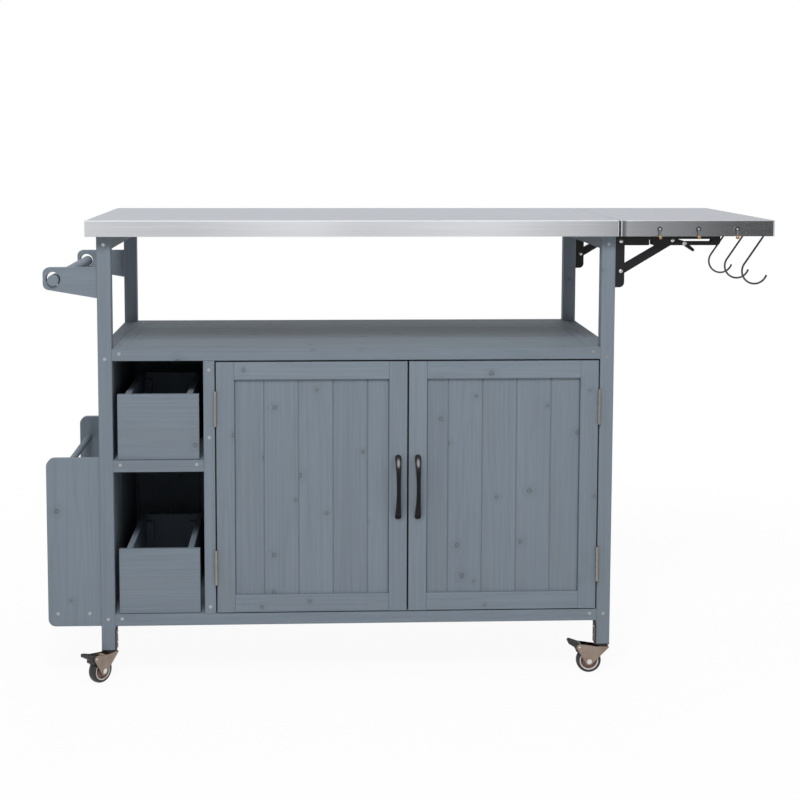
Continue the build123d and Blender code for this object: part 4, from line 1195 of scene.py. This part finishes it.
class CART_OT_stage(Operator):
    """Builds the floor, the lights and the camera"""
    bl_idname = "cart.stage"
    bl_label = "Stage"

    floor_reach = 14.0
    floor_dullness = 0.9
    paper_fade = (0.8, 2.2)
    paper_share = 0.94
    wall_depth = -3.3
    wall_heights = (1.5, 2.4)
    slope_end = (-2.0, 3.6)
    ceiling_end = 0.4
    flag_end = -0.45
    flag_height = 0.002
    frame_pixels = 800
    focal_pixels = 1473.6
    principal_pixel = (372.6, 265.7)
    sensor_width_mm = 36.0
    pitch = 0.08796
    yaw = 0.04417
    roll = 0.00207
    eye_from_leg = (0.4085, -2.8592)
    eye_height = 1.0772

    def execute(self, context):
        stage = context.scene.cart_stage
        context.scene.view_settings.view_transform = "Standard"
        self.make_floor(stage)
        self.make_world(context.scene, stage)
        middle = (CAD_BOX[0] + CAD_BOX[1]) / 2
        for name, offset, size, power in (
            ("key_light", (-0.5, -2.6, 3.0), 1.3, stage.key_power),
            ("fill_light", (2.6, -2.4, 0.9), 2.0, stage.fill_power),
            ("top_light", (0.0, 0.3, 2.8), 2.6, stage.top_power),
            ("back_light", (0.0, 3.2, 1.35), 2.0, stage.back_power),
        ):
            self.add_light(name, middle + Vector(offset), middle, size, power)
        self.add_cards()
        self.make_camera(context.scene)
        return {"FINISHED"}

    def make_floor(self, stage):
        """White paper that keeps a faint shadow near the cart."""
        material, tree, shader = new_material("floor_paper")
        feed(tree, shader, {"Base Color": opaque(stage.floor), "Roughness": self.floor_dullness})
        away = vector_result(tree, "LENGTH", object_place(tree)).outputs["Value"]
        paper = ramp_between(tree, away, *self.paper_fade, self.paper_share, 1.0)
        share = calculate(tree, "MULTIPLY", backdrop_rays(tree), paper)
        blend = add_node(tree, "MixShader", {
            0: share, 1: shader.outputs["BSDF"], 2: white_glow(tree, 1.0)})
        feed(tree, tree.nodes["Material Output"], {"Surface": blend.outputs["Shader"]})
        seen_but_no_lamp(material)
        reach = self.floor_reach
        corners = [(x * reach, y * reach, 0.0) for x, y in ((-1, -1), (1, -1), (1, 1), (-1, 1))]
        link_sheet("floor", corners, material)

    def make_world(self, scene, stage):
        """White where it is seen, and dimmer as a light."""
        world = bpy.data.worlds.new("studio")
        scene.world = world
        world.use_nodes = True
        tree = world.node_tree
        strength = weighted_sum(tree, stage.ambient, (backdrop_rays(tree), 1.0 - stage.ambient))
        feed(tree, tree.nodes["Background"], {"Color": WHITE, "Strength": strength})

    def add_light(self, name, place, target, size, power):
        """A round lamp that faces a target and has no mirror image."""
        lamp = bpy.data.lights.new(name, "AREA")
        lamp.shape = "DISK"
        lamp.size = size
        lamp.energy = power
        light = bpy.data.objects.new(name, lamp)
        light.location = place
        light.rotation_euler = (target - place).to_track_quat("-Z", "Y").to_euler()
        light.visible_glossy = False
        bpy.context.scene.collection.objects.link(light)

    def add_cards(self):
        """Panels behind the camera and overhead that show only in polished metal."""
        foot = (self.wall_depth, 0.0)
        waist = (self.wall_depth, self.wall_heights[0])
        top = (self.wall_depth, self.wall_heights[1])
        ceiling_end = (self.ceiling_end, self.slope_end[1])
        wall = (foot, top)
        low_wall = (foot, waist)
        upper_wall = (waist, top)
        flag = ((self.wall_depth, self.flag_height), (self.flag_end, self.flag_height))
        slope = (top, self.slope_end)
        ceiling = (self.slope_end, ceiling_end)
        for name, span, edges, glow in (
            ("left_panel", (-1.9, -0.74), wall, (1.16, 0.80)),
            ("middle_panel", (-0.74, -0.12), wall, (0.78, 1.24)),
            ("right_panel", (-0.12, 0.65), wall, (0.84, 1.16)),
            ("shaded_panel", (0.65, 1.02), wall, (0.90, 0.72)),
            ("dim_panel", (1.02, 1.40), low_wall, (0.40, 0.28)),
            ("dark_panel", (1.40, 2.1), low_wall, (0.08, 0.03)),
            ("floor_flag", (0.95, 2.1), flag, (0.25, 0.02)),
            ("upper_panel", (1.02, 2.1), upper_wall, (0.60, 0.36)),
            ("high_panel", (-2.4, 1.05), slope, (2.4, 2.4)),
            ("high_shaded_panel", (1.05, 2.1), slope, (1.2, 0.3)),
            ("ceiling_panel", (-2.4, 1.05), ceiling, (2.4, 2.4)),
            ("ceiling_shaded_panel", (1.05, 2.1), ceiling, (1.6, 0.6)),
        ):
            self.add_card(name, span, edges, glow)

    def add_card(self, name, span, edges, glow):
        """A panel between two edges in y and z whose glow changes evenly from left to right."""
        left, right = span
        near, far = edges
        start, end = glow
        material, tree, _ = new_material(name)
        place = add_node(tree, "TexCoord").outputs["Generated"]
        strength = weighted_sum(tree, start, (split_vector(tree, place)["X"], end - start))
        feed(tree, tree.nodes["Material Output"], {"Surface": white_glow(tree, strength)})
        seen_but_no_lamp(material)
        corners = ((left, *near), (right, *near), (right, *far), (left, *far))
        card = link_sheet(name, corners, material)
        for way in ("visible_camera", "visible_diffuse", "visible_shadow", "visible_transmission"):
            setattr(card, way, False)

    def make_camera(self, scene):
        """The view of the photograph, from a place in front of the front left leg's outer corner."""
        right = Vector((math.cos(self.yaw), -math.sin(self.yaw), 0.0))
        level = Vector((math.sin(self.yaw), math.cos(self.yaw), 0.0))
        ahead = level * math.cos(self.pitch) - UPWARD * math.sin(self.pitch)
        above = level * math.sin(self.pitch) + UPWARD * math.cos(self.pitch)
        tilted_right = right * math.cos(self.roll) + above * math.sin(self.roll)
        tilted_up = above * math.cos(self.roll) - right * math.sin(self.roll)
        turn = Matrix((tilted_right, tilted_up, -ahead)).transposed().to_4x4()
        beside, before = self.eye_from_leg
        eye = Vector((LEG_LOW.x + beside, LEG_LOW.y + before, self.eye_height))
        data = bpy.data.cameras.new("photo_view")
        data.sensor_width = self.sensor_width_mm
        data.lens = self.focal_pixels * self.sensor_width_mm / self.frame_pixels
        data.shift_x = (self.frame_pixels / 2 - self.principal_pixel[0]) / self.frame_pixels
        data.shift_y = (self.principal_pixel[1] - self.frame_pixels / 2) / self.frame_pixels
        camera = bpy.data.objects.new("photo_view", data)
        camera.matrix_world = Matrix.Translation(eye) @ turn
        scene.collection.objects.link(camera)
        scene.camera = camera


class CART_PT_sidebar(Panel):
    """Lists the cart's pieces and settings"""
    bl_idname = "CART_PT_sidebar"
    bl_label = "Outdoor kitchen cart"
    bl_space_type = "VIEW_3D"
    bl_region_type = "UI"
    bl_category = "Cart"

    def draw(self, context):
        for group_name in SETTINGS:
            group = getattr(context.scene, group_name)
            for name in group.__annotations__:
                self.layout.prop(group, name)
        for operator in OPERATORS:
            self.layout.operator(operator.bl_idname)


SETTINGS = {
    "cart_wood": CartWoodSettings,
    "cart_metal": CartMetalSettings,
    "cart_casters": CartCasterSettings,
    "cart_stage": CartStageSettings,
}
OPERATORS = (
    CART_OT_frame_boards, CART_OT_doors, CART_OT_bins, CART_OT_end_fittings, CART_OT_tops,
    CART_OT_brackets, CART_OT_hooks, CART_OT_casters, CART_OT_screws, CART_OT_stage,
)
CLASSES = (*SETTINGS.values(), *OPERATORS, CART_PT_sidebar)


def register():
    for cls in CLASSES:
        bpy.utils.register_class(cls)
    for name, group in SETTINGS.items():
        setattr(bpy.types.Scene, name, PointerProperty(type=group))


def unregister():
    for name in SETTINGS:
        delattr(bpy.types.Scene, name)
    for cls in reversed(CLASSES):
        bpy.utils.unregister_class(cls)


def main():
    register()
    bpy.ops.cart.frame_boards()
    bpy.ops.cart.doors()
    bpy.ops.cart.bins()
    bpy.ops.cart.end_fittings()
    bpy.ops.cart.tops()
    bpy.ops.cart.brackets()
    bpy.ops.cart.hooks()
    bpy.ops.cart.casters()
    bpy.ops.cart.screws()
    bpy.ops.cart.stage()
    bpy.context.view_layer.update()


if __name__ == "__main__":
    main()
